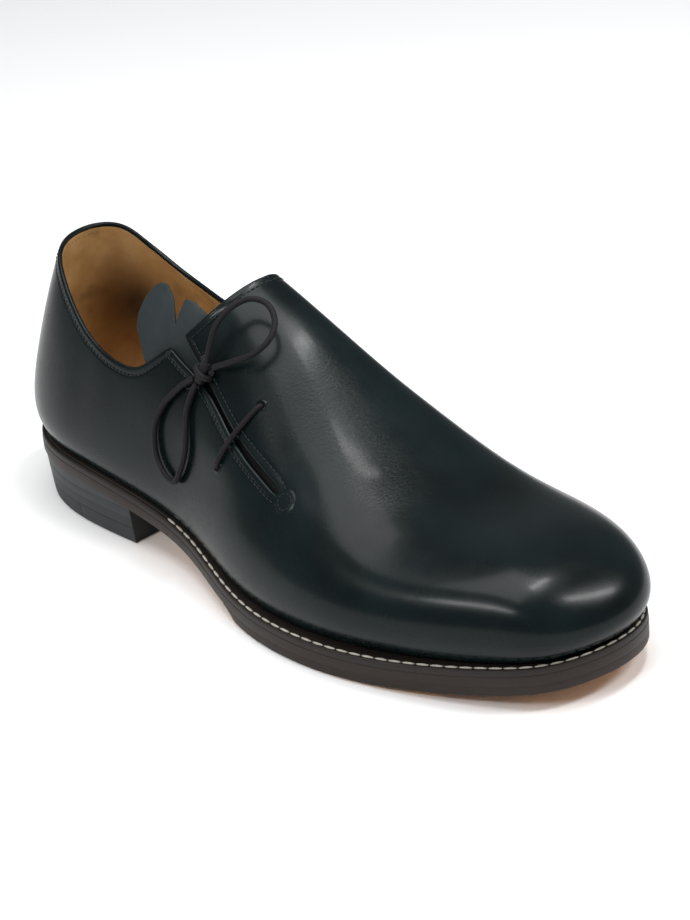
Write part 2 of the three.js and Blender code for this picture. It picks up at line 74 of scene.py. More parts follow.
def unit(v):
    v = np.asarray(v, float)
    return v / np.maximum(np.linalg.norm(v, axis=-1, keepdims=True), 1e-12)


def placeObject(thing, right, up, back, place):
    turned = np.eye(4)
    turned[:3, 0], turned[:3, 1], turned[:3, 2], turned[:3, 3] = right, up, back, place
    thing.matrix_world = Matrix(turned.tolist())


def makeCamera():
    azimuth, elevation, roll = (math.radians(camera[k]) for k in ("azimuth", "elevation", "roll"))
    back = np.array([
        math.sin(azimuth) * math.cos(elevation),
        -math.cos(azimuth) * math.cos(elevation),
        math.sin(elevation),
    ])
    level = unit(np.cross(-back, (0, 0, 1)))
    above = np.cross(level, -back)
    right = level * math.cos(roll) + above * math.sin(roll)
    up = above * math.cos(roll) - level * math.sin(roll)
    place = np.array(camera["target"]) + back * camera["distance"]
    aimed = unit(back - right * camera["aim"][0] - up * camera["aim"][1])
    right = unit(np.cross(up, aimed))
    lens = bpy.data.cameras.new("camera")
    lens.lens = camera["lens"]
    lens.sensor_width = 36.0
    lens.clip_start, lens.clip_end = 0.05, 50.0
    holder = bpy.data.objects.new("camera", lens)
    bpy.context.scene.collection.objects.link(holder)
    placeObject(holder, right, np.cross(aimed, right), aimed, place)
    bpy.context.scene.camera = holder


def makeLights():
    world = bpy.data.worlds.new("studio")
    world.use_nodes = True
    world.node_tree.nodes["Background"].inputs["Color"].default_value = colour(light["world"])
    world.node_tree.nodes["Background"].inputs["Strength"].default_value = light["worldStrength"]
    bpy.context.scene.world = world
    bpy.context.scene.view_settings.view_transform = "Standard"
    for name, place, target, axis, width, height, watts in light["softboxes"]:
        lamp = bpy.data.lights.new(name, "AREA")
        lamp.shape = "RECTANGLE"
        lamp.size, lamp.size_y, lamp.energy = width, height, watts
        holder = bpy.data.objects.new(name, lamp)
        bpy.context.scene.collection.objects.link(holder)
        back = unit(np.array(place) - np.array(target))
        right = unit(np.array(axis) - back * (back @ np.array(axis)))
        placeObject(holder, right, np.cross(back, right), back, place)


makeCamera()
makeLights()
print("camera and lights set")


# Materials

def addNode(tree, kind, settings=None, inputs=None):
    node = tree.nodes.new("ShaderNode" + kind)
    for name, value in (settings or {}).items():
        setattr(node, name, value)
    for name, value in (inputs or {}).items():
        if isinstance(value, bpy.types.NodeSocket):
            tree.links.new(value, node.inputs[name])
        else:
            node.inputs[name].default_value = value
    return node


def newMaterial(name, finish):
    material = bpy.data.materials.new(name)
    material.use_nodes = True
    tree = material.node_tree
    shader = tree.nodes["Principled BSDF"]
    for socket, value in finish.items():
        shader.inputs[socket].default_value = value
    place = addNode(tree, "TexCoord").outputs["Object"]
    return material, tree, shader, place


def noise(tree, place, size, detail=3.0, roughness=0.5, stretch=None):
    # size is the width of one blotch in mm; the coordinates are metres
    where = place
    if stretch:
        where = addNode(tree, "Mapping", {}, {"Vector": place, "Scale": stretch}).outputs[0]
    return addNode(tree, "TexNoise", {}, {
        "Vector": where, "Scale": 1000.0 / size, "Detail": detail, "Roughness": roughness,
    }).outputs["Fac"]


def ramp(tree, value, stops):
    # stops are (place, colour code) or (place, grey)
    node = addNode(tree, "ValToRGB", {}, {"Fac": value})
    while len(node.color_ramp.elements) < len(stops):
        node.color_ramp.elements.new(0.5)
    for element, (at, shade) in zip(node.color_ramp.elements, stops):
        element.position = at
        element.color = colour(shade) if isinstance(shade, str) else (shade, shade, shade, 1.0)
    return node.outputs["Color"]


def mixColour(tree, factor, first, second):
    node = addNode(tree, "Mix", {"data_type": "RGBA"})
    for index, value in ((0, factor), (6, first), (7, second)):
        if isinstance(value, bpy.types.NodeSocket):
            tree.links.new(value, node.inputs[index])
        elif isinstance(value, str):
            node.inputs[index].default_value = colour(value)
        else:
            node.inputs[index].default_value = value
    return node.outputs[2]


def maths(tree, operation, first, second=0.0, third=0.0):
    return addNode(tree, "Math", {"operation": operation}, {0: first, 1: second, 2: third}).outputs[0]


def joinShader(tree, shader, tint, rough, layers):
    # layers of the bump are (height, depth in mm), each laid over the one before
    tree.links.new(tint, shader.inputs["Base Color"])
    tree.links.new(rough, shader.inputs["Roughness"])
    normal = None
    for height, depth in layers:
        inputs = {"Height": height, "Strength": 1.0, "Distance": depth / 1000}
        if normal:
            inputs["Normal"] = normal
        normal = addNode(tree, "Bump", {}, inputs).outputs["Normal"]
    tree.links.new(normal, shader.inputs["Normal"])


def attribute(tree, name):
    return addNode(tree, "Attribute", {"attribute_name": name}).outputs["Fac"]


# Polished calf: dyed black through, waxed and brushed, so its gloss is soft and its pores are fine
calf = {
    "deep": "#060c0d",
    "cool": "#0e1819",
    # sizes in mm: clouds of colour, small creases where the leather flexes, pores, smears of wax, dents
    "cloud": 34.0, "crease": 1.1, "pores": 0.45, "smear": 9.0, "dents": 16.0,
    "gloss": 0.26,
}


def makeCalf():
    material, tree, shader, place = newMaterial("polishedBlackCalf", {
        "IOR": 1.23, "Coat Weight": 0.09, "Coat Roughness": 0.13, "Coat IOR": 1.4,
    })
    tint = ramp(tree, noise(tree, place, calf["cloud"], 2.0), [(0.3, calf["deep"]), (0.72, calf["cool"])])
    pores = noise(tree, place, calf["pores"], 2.0, 0.6)
    flexing = attribute(tree, "flex")
    creases = noise(tree, place, calf["crease"], 4.0, 0.62, (1.0, 0.55, 1.3))
    crumpled = maths(tree, "MULTIPLY", creases, flexing)
    smear = noise(tree, place, calf["smear"], 3.0, 0.6)
    rough = maths(tree, "MULTIPLY_ADD", smear, 0.16, calf["gloss"] - 0.08)
    rough = maths(tree, "MULTIPLY_ADD", flexing, 0.08, rough)
    dents = noise(tree, place, calf["dents"], 2.0)
    joinShader(tree, shader, tint, rough, [(dents, 0.1), (crumpled, 0.24), (pores, 0.014)])
    return material


# Undyed calf lining: vegetable tanned, matt, with darker blotches and a patch of painted shade deep in the
# heel
lining = {
    "pale": "#e6bf86", "tan": "#cb9e62", "dark": "#8f7049", "paintedShade": "#2b1c0e",
    "blotch": 26.0, "pores": 0.7,  # sizes in mm
    # middle in the frame of the source and reach in mm of the patch of painted shade deep in the heel
    "wearAndShade": ((15, 26, 62), 19),
    "columns": (48, 4, 14, 20, 30), "rows": (30, 18), "inset": 0.5,  # mm below the upper's edge
    "faces": (1.25, 1.85),  # depths of its two faces under the upper's surface
}


def makeLiningLeather(name, pale, tan, dark):
    material, tree, shader, place = newMaterial(name, {"IOR": 1.45})
    blotch = noise(tree, place, lining["blotch"], 4.0, 0.6)
    tint = ramp(tree, blotch, [(0.28, dark), (0.46, tan), (0.7, pale)])
    grain = noise(tree, place, lining["pores"], 3.0, 0.7)
    tint = mixColour(tree, maths(tree, "MULTIPLY", grain, 0.3), tint, dark)
    # painted shade: towards the middle of the patch the lining darkens to a near-black brown
    wearAndShade = maths(tree, "MULTIPLY", attribute(tree, "wearAndShade"), maths(tree, "ADD", blotch, 0.35))
    tint = mixColour(tree, wearAndShade, tint, lining["paintedShade"])
    rough = maths(tree, "MULTIPLY_ADD", blotch, 0.2, 0.5)
    joinShader(tree, shader, tint, rough, [(blotch, 0.2), (grain, 0.05)])
    return material


# Tongue: soft chrome-tanned leather, dark grey and almost matt
def makeTongueLeather():
    material, tree, shader, place = newMaterial("softGreyLeather", {"IOR": 1.28})
    tint = ramp(tree, noise(tree, place, 18.0, 3.0), [(0.3, "#1d2324"), (0.7, "#2c3334")])
    # painted shade: the leaf is mixed to near black where the slit covers it
    tint = mixColour(tree, attribute(tree, "under"), tint, "#030404")
    grain = noise(tree, place, 0.8, 3.0, 0.65)
    rough = maths(tree, "MULTIPLY_ADD", grain, 0.2, 0.45)
    joinShader(tree, shader, tint, rough, [(noise(tree, place, 9.0, 2.0), 0.3), (grain, 0.06)])
    return material


# Sole edge: leather cut, sanded, inked black-brown and waxed, with the fibre lines of its layers
soleEdge = {"ink": "#1e1713", "wearAndShade": "#362a22", "fibre": 0.5}


def makeEdgeLeather(name, ink, wearAndShade):
    material, tree, shader, place = newMaterial(name, {"IOR": 1.33})
    lines = noise(tree, place, soleEdge["fibre"], 3.0, 0.6, (0.06, 0.06, 1.0))
    cloud = noise(tree, place, 22.0, 4.0, 0.6)
    tint = mixColour(tree, maths(tree, "MULTIPLY", lines, cloud), ink, wearAndShade)
    rough = maths(tree, "MULTIPLY_ADD", cloud, 0.25, 0.36)
    joinShader(tree, shader, tint, rough, [(lines, 0.04), (noise(tree, place, 1.2, 3.0), 0.05)])
    return material


# Heel sides: the same leather inked cool black and glazed; the welt's ink lies between the two
heelSide = {"ink": "#202325", "wearAndShade": "#33373a"}
weltInk = {"ink": "#1b1715", "wearAndShade": "#352e29"}


# Sole bottom: bark-tanned leather, buffed and waxed, with scuffs and dark smudges
soleBottom = {"pale": "#cf9a58", "tan": "#bd8547", "dark": "#8a5a2c", "scuff": "#4b3422"}


def makeSoleLeather():
    material, tree, shader, place = newMaterial("barkTannedSole", {"IOR": 1.46})
    cloud = noise(tree, place, 48.0, 4.0, 0.55)
    tint = ramp(tree, cloud, [
        (0.3, soleBottom["dark"]), (0.5, soleBottom["tan"]), (0.68, soleBottom["pale"]),
    ])
    streaks = noise(tree, place, 5.0, 5.0, 0.7, (0.35, 1.0, 1.0))
    smudge = ramp(tree, streaks, [(0.6, 0.0), (0.78, 0.55)])
    tint = mixColour(tree, smudge, tint, soleBottom["scuff"])
    fibre = noise(tree, place, 0.6, 3.0, 0.7)
    tint = mixColour(tree, maths(tree, "MULTIPLY", fibre, 0.22), tint, soleBottom["dark"])
    rough = maths(tree, "MULTIPLY_ADD", streaks, 0.3, 0.33)
    joinShader(tree, shader, tint, rough, [(streaks, 0.12), (fibre, 0.05)])
    return material


# Heel rubber: pressed and buffed, matt, with a fine pebble
def makeHeelRubber():
    material, tree, shader, place = newMaterial("pressedRubber", {"IOR": 1.52})
    tint = ramp(tree, noise(tree, place, 14.0, 4.0), [(0.3, "#141516"), (0.7, "#232527")])
    pebble = noise(tree, place, 0.7, 2.0)
    rough = maths(tree, "MULTIPLY_ADD", pebble, 0.2, 0.55)
    joinShader(tree, shader, tint, rough, [(pebble, 0.06), (noise(tree, place, 4.0, 4.0), 0.08)])
    return material


# Waxed cotton: braided, so a faint bloom over a dark purple-black
def makeCotton(name, dark, pale, rough):
    material, tree, shader, place = newMaterial(name, {
        "IOR": 1.33, "Sheen Weight": 0.02, "Sheen Roughness": 0.5,
    })
    fuzz = noise(tree, place, 0.5, 3.0, 0.7)
    tint = ramp(tree, fuzz, [(0.3, dark), (0.75, pale)])
    joinShader(tree, shader, tint, maths(tree, "MULTIPLY_ADD", fuzz, 0.15, rough), [(fuzz, 0.04)])
    return material


# Painted shade of a punched hole: a matt, nearly black disc
def makeHoleShade():
    material, _, shader, _ = newMaterial("paintedHoleShade", {"Roughness": 0.9, "IOR": 1.2})
    shader.inputs["Base Color"].default_value = colour("#050506")
    return material


materials = {
    "calf": makeCalf(),
    "lining": makeLiningLeather("vegetableTannedLining", lining["pale"], lining["tan"], lining["dark"]),
    "sock": makeLiningLeather("insoleSock", "#9a7347", "#7d5935", "#4d3823"),
    "tongue": makeTongueLeather(),
    "edge": makeEdgeLeather("inkedSoleEdge", soleEdge["ink"], soleEdge["wearAndShade"]),
    "heel": makeEdgeLeather("glazedHeelSide", heelSide["ink"], heelSide["wearAndShade"]),
    "welt": makeEdgeLeather("inkedWelt", weltInk["ink"], weltInk["wearAndShade"]),
    "sole": makeSoleLeather(),
    "rubber": makeHeelRubber(),
    "lace": makeCotton("waxedCottonLace", "#060406", "#110d12", 0.6),
    "paleThread": makeCotton("paleLinenThread", "#9c968a", "#d2cdc2", 0.6),
    "darkThread": makeCotton("blackLinenThread", "#0d0e10", "#24262a", 0.5),
    "holeShade": makeHoleShade(),
}


def makeFloorMaterial():
    material, tree, shader, place = newMaterial("paintedFloor", {"Roughness": 0.7, "IOR": 1.3})
    faint = noise(tree, place, 900.0, 2.0)
    tree.links.new(ramp(tree, faint, [(0.2, "#f2f2f2"), (0.8, "#f6f6f6")]), shader.inputs["Base Color"])
    return material


def makeFloor():
    half, under = 6, -0.0001  # metres; a tenth of a millimetre under the soles
    corners = [(-half, -half, under), (half, -half, under), (half, half, under), (-half, half, under)]
    mesh = bpy.data.meshes.new("floor")
    mesh.from_pydata(corners, [], [(0, 1, 2, 3)])
    mesh.materials.append(makeFloorMaterial())
    floor = bpy.data.objects.new("floor", mesh)
    bpy.context.scene.collection.objects.link(floor)


makeFloor()
print("materials and floor made")


# Mesh tools. Shapes are worked out in millimetres from the back of the sole, as in the source

def gridFaces(rows, columns, first=0, ring=False):
    # quads between neighbouring rows and columns of a grid stored row by row
    count = columns if ring else columns - 1
    r, c = np.meshgrid(np.arange(rows - 1), np.arange(count), indexing="ij")
    n = (c + 1) % columns
    return (np.stack([r * columns + c, r * columns + n, (r + 1) * columns + n, (r + 1) * columns + c], -1)
            .reshape(-1, 4) + first)


def gridBorder(rows, columns):
    # point numbers once round the outer edge of a grid
    index = np.arange(rows * columns).reshape(rows, columns)
    return np.concatenate([index[0, :], index[1:, -1], index[-1, -2::-1], index[-2:0:-1, 0]])


def turns(count):
    return np.linspace(0, 2 * np.pi, count, endpoint=False)


def turnedTo(normal, axis):
    # normals with their sign chosen so that none points along the axis
    return np.where(normal[..., axis:axis + 1] > 0, -normal, normal)


def weld(points, faces):
    # merges equal points; returns also where each point went
    keys = np.round(points / 1e-4).astype(np.int64)
    _, kept, where = np.unique(keys, axis=0, return_index=True, return_inverse=True)
    where = where.ravel()
    return points[kept], where[faces], where


def pointNormals(points, faces):
    # sum of the faces' normals round each point, each as long as twice its face's area
    corners = points[faces]
    across = np.cross(corners[:, 2] - corners[:, 0], corners[:, 3] - corners[:, 1])
    total = np.zeros_like(points)
    for corner in range(4):
        np.add.at(total, faces[:, corner], across)
    return unit(total)


def makePiece(name, points, faces, material, replaced=(), attributes=None, crease=40.0):
    mesh = bpy.data.meshes.new(name)
    metres = (np.asarray(points) - (heelRest, 0, 0)) / 1000
    mesh.from_pydata(metres.tolist(), [], [list(face) for face in faces])
    for key, values in (attributes or {}).items():
        layer = mesh.attributes.new(key, "FLOAT", "POINT")
        layer.data.foreach_set("value", np.asarray(values, np.float32))
    work = bmesh.new()
    work.from_mesh(mesh)
    bmesh.ops.remove_doubles(work, verts=work.verts, dist=2e-7)
    bmesh.ops.dissolve_degenerate(work, edges=work.edges, dist=1e-8)
    bmesh.ops.recalc_face_normals(work, faces=work.faces)
    work.to_mesh(mesh)
    work.free()
    mesh.polygons.foreach_set("use_smooth", [True] * len(mesh.polygons))
    mesh.set_sharp_from_angle(angle=math.radians(crease))
    mesh.materials.append(materials[material])
    piece = bpy.data.objects.new(name, mesh)
    bpy.context.scene.collection.objects.link(piece)
    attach(piece, "root")
    if replaced:
        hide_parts(*replaced)
    return piece


def smoothLine(points, steps):
    # centripetal Catmull-Rom curve through the points, at even steps of its own parameter
    points = np.asarray(points, float)
    ring = np.vstack([2 * points[:1] - points[1:2], points, 2 * points[-1:] - points[-2:-1]])
    spans = len(points) - 1
    place = np.linspace(0, spans, steps + 1)
    i = np.minimum(place.astype(int), spans - 1)
    w = (place - i)[:, None]
    p0, p1, p2, p3 = ring[i], ring[i + 1], ring[i + 2], ring[i + 3]
    d0, d1, d2 = (np.linalg.norm(b - a, axis=1, keepdims=True) ** 0.5
                  for a, b in ((p0, p1), (p1, p2), (p2, p3)))
    t1 = ((p1 - p0) / d0 - (p2 - p0) / (d0 + d1) + (p2 - p1) / d1) * d1
    t2 = ((p2 - p1) / d1 - (p3 - p1) / (d1 + d2) + (p3 - p2) / d2) * d1
    return p1 + t1 * w + (-3 * p1 + 3 * p2 - 2 * t1 - t2) * w ** 2 + (2 * p1 - 2 * p2 + t1 + t2) * w ** 3


def lengthsAlong(line):
    return np.concatenate([[0], np.cumsum(np.linalg.norm(np.diff(line, axis=0), axis=1))])


def pickAlong(at, along, values):
    # values of a line's columns at given lengths along it
    return np.stack([np.interp(at, along, values[:, k]) for k in range(values.shape[1])], -1)


def evenSteps(line, pitch, nearby=0.3):
    # points along a line at an even distance, close to the pitch, with their directions
    along = lengthsAlong(line)
    count = max(int(round(along[-1] / pitch)), 1)
    at = (np.arange(count) + 0.5) * along[-1] / count
    ahead = pickAlong(at + nearby, along, line) - pickAlong(at - nearby, along, line)
    return pickAlong(at, along, line), unit(ahead), at, along


braid = {"sides": 20, "step": 0.4, "depth": 0.05, "strands": 4, "pitch": 2.6}  # step in mm, pitch in radii


def braidedTube(line, radius):
    # tube along a line; its radius swells where the braid's two sets of strands cross:
    # r = radius * (1 - depth + depth * cos(4 turn + k s) * cos(4 turn - k s)), s along the lace
    sides, depth, strands = braid["sides"], braid["depth"], braid["strands"]
    along = lengthsAlong(line)
    at = np.linspace(0, along[-1], max(int(along[-1] / braid["step"]), 8))
    path = pickAlong(at, along, line)
    ahead = unit(np.gradient(path, axis=0))
    side = np.zeros_like(path)
    side[0] = unit(np.cross(ahead[0], (0.3, -0.5, 0.8)))
    for i in range(1, len(path)):  # carries the side along without twist
        side[i] = unit(side[i - 1] - ahead[i] * (side[i - 1] @ ahead[i]))
    other = np.cross(ahead, side)
    turn = turns(sides)
    pull = 2 * np.pi / (braid["pitch"] * radius) * at[:, None]
    size = radius * (1 - depth + depth * np.cos(strands * turn + pull) * np.cos(strands * turn - pull))
    rings = path[:, None] + size[..., None] * (np.cos(turn)[None, :, None] * side[:, None]
                                               + np.sin(turn)[None, :, None] * other[:, None])
    points = rings.reshape(-1, 3)
    tips = np.stack([path[0] - ahead[0] * radius * 0.5, path[-1] + ahead[-1] * radius * 0.5])
    first, base = len(points), len(points) - sides
    faces = [tuple(f) for f in gridFaces(len(path), sides, ring=True)]
    faces += [(first, (i + 1) % sides, i) for i in range(sides)]
    faces += [(first + 1, base + i, base + (i + 1) % sides) for i in range(sides)]
    return np.vstack([points, tips]), faces, path, along[-1]


def stitchRow(points, ahead, normals, length, width, height, sink=0.15):
    # one small bean per stitch: an ellipsoid of six rings of eight, long along the row
    rings, sides = 6, 8
    turn = turns(sides)
    tilt = np.linspace(-0.46 * np.pi, 0.46 * np.pi, rings)
    t, r = np.meshgrid(tilt, turn, indexing="ij")
    bean = np.stack([np.sin(t) * length / 2, np.cos(t) * np.cos(r) * width / 2,
                     np.cos(t) * np.sin(r) * height / 2], -1).reshape(-1, 3)
    across = unit(np.cross(normals, ahead))
    up = np.cross(ahead, across)
    centre = points + normals * (height / 2 - sink)
    cloud = (centre[:, None] + bean[None, :, :1] * ahead[:, None] + bean[None, :, 1:2] * across[:, None]
             + bean[None, :, 2:] * up[:, None])
    firsts = (np.arange(len(points)) * rings * sides)[:, None, None]
    faces = (gridFaces(rings, sides, ring=True)[None] + firsts).reshape(-1, 4)
    cap = np.arange(sides)
    caps = np.stack([cap[::-1], cap + (rings - 1) * sides])
    capFaces = (caps[None] + firsts).reshape(-1, sides)
    return cloud.reshape(-1, 3), [tuple(f) for f in faces] + [tuple(f) for f in capFaces]


def joinParts(parts):
    points, faces, first = [], [], 0
    for somePoints, someFaces in parts:
        points.append(somePoints)
        faces += [tuple(int(i) + first for i in face) for face in someFaces]
        first += len(somePoints)
    return np.vstack(points), faces


# The last and the sole, the same functions as in the source

sole = {
    "length": 300.0,
    "ballWidth": 106.0,
    "instepRise": 92.0,
    "backHeight": 104.0,
    "heelHeight": 20.0,
    "heelLength": 85.0,
    "toeSpring": 8.6,
    # start and span as shares of the length
    "waist": (0.15, 0.45), "toeRise": (0.683, 0.317),
    "stepAt": 155.0,
    "stepBevel": 8.0,
    "halfSole": 3.6,
    "outsole": 3.8,
    "welt": 2.6,
    "insole": 3.0,
    "gap": 0.3,
    # share of the length; lateral and medial edge as shares of the ball width
    "outline": [
        (0, 0.028, 0.028), (0.02, -0.175, 0.228), (0.073, -0.315, 0.341), (0.167, -0.384, 0.373),
        (0.283, -0.377, 0.311), (0.4, -0.382, 0.264), (0.517, -0.472, 0.321), (0.633, -0.519, 0.443),
        (0.733, -0.486, 0.5), (0.833, -0.393, 0.481), (0.917, -0.279, 0.409), (0.97, -0.169, 0.311),
        (1, 0.085, 0.085),
    ],
}
lastForm = {
    "ledge": 6.5,
    "bulge": 5.5,
    "bulgeHeight": 15.0,
    "lean": 11.0,
    "leanHeight": 75.0,
    "ridge": (0.153, 0.793),  # shares of the length between which the top ridge runs
    "softness": 10.0,
    # share of the length; rise, centre, lateral and medial squareness, ledge, bulge and lean
    "sections": [
        (0, 1.34, 0.028, 3.4, 3.4, 0.54, 0.87, 1), (0.02, 1.34, 0.028, 3.4, 3.4, 0.54, 0.87, 1.05),
        (0.073, 1.34, 0.028, 3.4, 3.4, 0.54, 0.87, 1.15), (0.167, 1.24, 0.028, 3.2, 3.2, 0.54, 0.73, 1.2),
        (0.283, 1.12, 0.038, 2.4, 2.6, 0.5, 0.55, 0.5), (0.4, 1.018, 0.057, 2, 2.9, 0.54, 0.58, 0),
        (0.517, 0.874, 0.085, 2, 3.1, 0.73, 0.6, 0), (0.633, 0.624, 0.104, 2.3, 3.4, 0.92, 0.73, 0),
        (0.733, 0.44, 0.113, 3.1, 3.6, 1, 1, 0), (0.833, 0.386, 0.113, 3.5, 3.8, 0.92, 1.12, 0),
        (0.917, 0.362, 0.113, 3.7, 3.9, 0.72, 1.1, 0), (0.97, 0.28, 0.113, 3.7, 3.9, 0.6, 1.1, 0),
        (1, 0.18, 0.113, 3.7, 3.9, 0.55, 1.1, 0),
    ],
}
soleLength, ballWidth = sole["length"], sole["ballWidth"]


def ringSpline(angles, values):
    # periodic cubic spline: its second derivatives solve one row of the matrix per knot
    count = len(angles)
    gaps = np.diff(np.append(angles, angles[0] + 2 * np.pi))
    matrix, right = np.zeros((count, count)), np.zeros(count)
    for i in range(count):
        before, after = gaps[i - 1], gaps[i]
        matrix[i, i - 1] += before
        matrix[i, i] += 2 * (before + after)
        matrix[i, (i + 1) % count] += after
        ahead = (values[(i + 1) % count] - values[i]) / after
        right[i] = 6 * (ahead - (values[i] - values[i - 1]) / before)
    bends = np.linalg.solve(matrix, right)

    def value(angle):
        angle = np.mod(np.asarray(angle, float), 2 * np.pi)
        i = np.clip(np.searchsorted(angles, angle, side="right") - 1, 0, count - 1)
        j = (i + 1) % count
        h = gaps[i]
        u = angle - angles[i]
        w = h - u
        return ((bends[i] * w ** 3 + bends[j] * u ** 3) / (6 * h)
                + (values[i] / h - bends[i] * h / 6) * w + (values[j] / h - bends[j] * h / 6) * u)
    return value


def aroundSole(rows, lateral, medial):
    # a share that runs round the sole: along the lateral side to the toe and back along the medial one
    rows = np.array(rows, float)
    angles = np.arccos(1 - 2 * rows[:, 0])
    return ringSpline(np.concatenate([angles, 2 * np.pi - angles[-2:0:-1]]),
                      np.concatenate([rows[:, lateral], rows[-2:0:-1, medial]]))


edgeShare = aroundSole(sole["outline"], 1, 2)
riseShare, centreShare = (aroundSole(lastForm["sections"], k, k) for k in (1, 2))
squareness = aroundSole(lastForm["sections"], 3, 4)
ledgeShare, bulgeShare, leanShare = (aroundSole(lastForm["sections"], k, k) for k in (5, 6, 7))


def smoothStep(u):
    u = np.clip(u, 0, 1)
    return u * u * (3 - 2 * u)


def angleAt(x):
    # angle round the sole at a place along it: 0 at the back, pi at the toe
    return np.arccos(np.clip(1 - 2 * np.asarray(x, float) / soleLength, -1, 1))


def soleUnder(x):
    # level over the heel, down through the waist by a smooth step, and up at the toe with the
    # square of the share that has been passed
    (waistFrom, waistSpan), (toeFrom, toeSpan) = sole["waist"], sole["toeRise"]
    waist = 1 - smoothStep((x / soleLength - waistFrom) / waistSpan)
    spring = np.maximum(x / soleLength - toeFrom, 0) / toeSpan
    low = sole["halfSole"] + sole["gap"]
    return low + (sole["heelHeight"] - low) * waist + sole["toeSpring"] * spring ** 2


def weltUnder(x):
    return soleUnder(x) + sole["outsole"] + sole["gap"]


def upperFoot(x):
    return weltUnder(x) + sole["welt"] + sole["gap"]


def edgePoint(angle, inset):
    # on the sole's outline, x = length / 2 (1 - cos angle) and y = width share(angle), then inwards
    small = 1e-3
    across = ballWidth * (edgeShare(angle + small) - edgeShare(angle - small)) / (2 * small)
    along = soleLength / 2 * np.sin(angle)
    size = np.hypot(along, across)
    return (soleLength / 2 * (1 - np.cos(angle)) - across / size * inset,
            ballWidth * edgeShare(angle) + along / size * inset)


def lastPoint(angle, climb, depth=0.0):
    # from the foot of the wall at climb 0 to the ridge at pi / 2, along a rounded square quarter of
    # radius (cos^p + sin^p)^(-1/p); the wall swells by h exp(1 - h) and leans in with the height squared
    angle, climb = np.broadcast_arrays(np.asarray(angle, float), np.asarray(climb, float))
    footX, footY = edgePoint(angle, lastForm["ledge"] * ledgeShare(angle) + depth)
    reach = soleLength / 2 * (1 - np.cos(angle))
    soft, (ridgeFrom, ridgeTo) = lastForm["softness"], lastForm["ridge"]
    ridgeX = (ridgeFrom * soleLength + soft * np.logaddexp(0, (reach - ridgeFrom * soleLength) / soft)
              - soft * np.logaddexp(0, (reach - ridgeTo * soleLength) / soft))
    ridgeY = ballWidth * centreShare(angleAt(ridgeX))
    power = squareness(angle)
    cos, sin = np.maximum(np.cos(climb), 0), np.sin(climb)
    radius = (cos ** power + sin ** power) ** (-1 / power)
    inwards, upwards = 1 - cos * radius, sin * radius
    toX, toY = ridgeX - footX, ridgeY - footY
    span = np.hypot(toX, toY)
    x, y = footX + toX * inwards, footY + toY * inwards
    rise = (sole["instepRise"] * riseShare(angleAt(x)) - depth) * upwards
    height = rise / lastForm["bulgeHeight"]
    swell = lastForm["bulge"] * bulgeShare(angle) * height * np.exp(1 - height)
    lean = lastForm["lean"] * leanShare(angle) * (rise / lastForm["leanHeight"]) ** 2
    out = (swell - lean) * np.sqrt(np.maximum(1 - inwards, 0)) / span
    return np.stack([x - toX * out, y - toY * out, upperFoot(x) + rise], -1)


def lastNormal(angle, climb, depth=0.0):
    # across the surface, from small steps round the sole and up the wall
    small = 1e-3
    around = lastPoint(angle + small, climb, depth) - lastPoint(angle - small, climb, depth)
    upward = lastPoint(angle, climb + small, depth) - lastPoint(angle, climb - small, depth)
    return unit(np.cross(around, upward))


def lateralPlace(x, z, depth=0.0):
    # angle and climb of the lateral side at places of the side view, by halving the climb
    x, z = np.asarray(x, float), np.asarray(z, float)
    angle = angleAt(x)
    for _ in range(8):
        low, high = np.zeros_like(x), np.full_like(x, np.pi / 2)
        for _ in range(24):
            climb = (low + high) / 2
            under = lastPoint(angle, climb, depth)[..., 2] < z
            low, high = np.where(under, climb, low), np.where(under, high, climb)
        miss = x - lastPoint(angle, climb, depth)[..., 0]
        angle = angleAt(soleLength / 2 * (1 - np.cos(angle)) + miss)
    return angle, climb


# Collar and slit in the side view, as in the source

openings = {
    # share of the length; height on each side as a share of the back height
    "collar": [
        (-0.1, 1.01, 1.01), (0.06, 1, 0.99), (0.1, 0.95, 0.89), (0.15, 0.86, 0.805), (0.21, 0.768, 0.76),
        (0.26, 0.725, 0.75), (0.3, 0.725, 0.77), (0.34, 0.802, 0.83), (0.38, 0.905, 0.93),
        (0.417, 1.045, 1.045), (0.43, 1.11, 1.11),
    ],
    "slit": [(0.342, 0.889), (0.38, 0.82), (0.431, 0.743), (0.5, 0.627), (0.601, 0.508)],
    # share along the slit; gap in mm that stays open between its folded edges
    "slitGap": [(0, 8.6), (0.25, 5.4), (0.46, 2.0), (0.62, 1.5), (0.84, 2.0), (1, 1.4)],
    "roll": 0.95,  # radius of the folded edge
    "rollAtEnd": (0.12, 0.22),  # mm at the slit's end, and more per mm away from it
    # share along the slit; distance from its middle in mm
    "eyelets": [(0.375, 5.8), (0.75, 12.8)],
}
sideScale = np.array([soleLength, sole["backHeight"]])
collarRows = np.array(openings["collar"])
collarLines = [smoothLine(collarRows[:, [0, k]] * sideScale, 240) for k in (1, 2)]
slitLine = smoothLine(np.array(openings["slit"]) * sideScale, 120)


def collarHeight(side, x, lower):
    # side 0 is the lateral one
    line = collarLines[side]
    return np.interp(x, line[:, 0], line[:, 1]) - lower


def slitEdges(extra):
    # both edges of the slit, closing on its lower end
    along = unit(np.gradient(slitLine, axis=0))
    normal = np.stack([-along[:, 1], along[:, 0]], -1)
    share = np.linspace(0, 1, len(slitLine))
    half = np.interp(share, *np.array(openings["slitGap"]).T) / 2 + extra
    half = half * np.sqrt(np.clip((1 - share) / 0.04, 0, 1))
    return slitLine - normal * half[:, None], slitLine + normal * half[:, None]


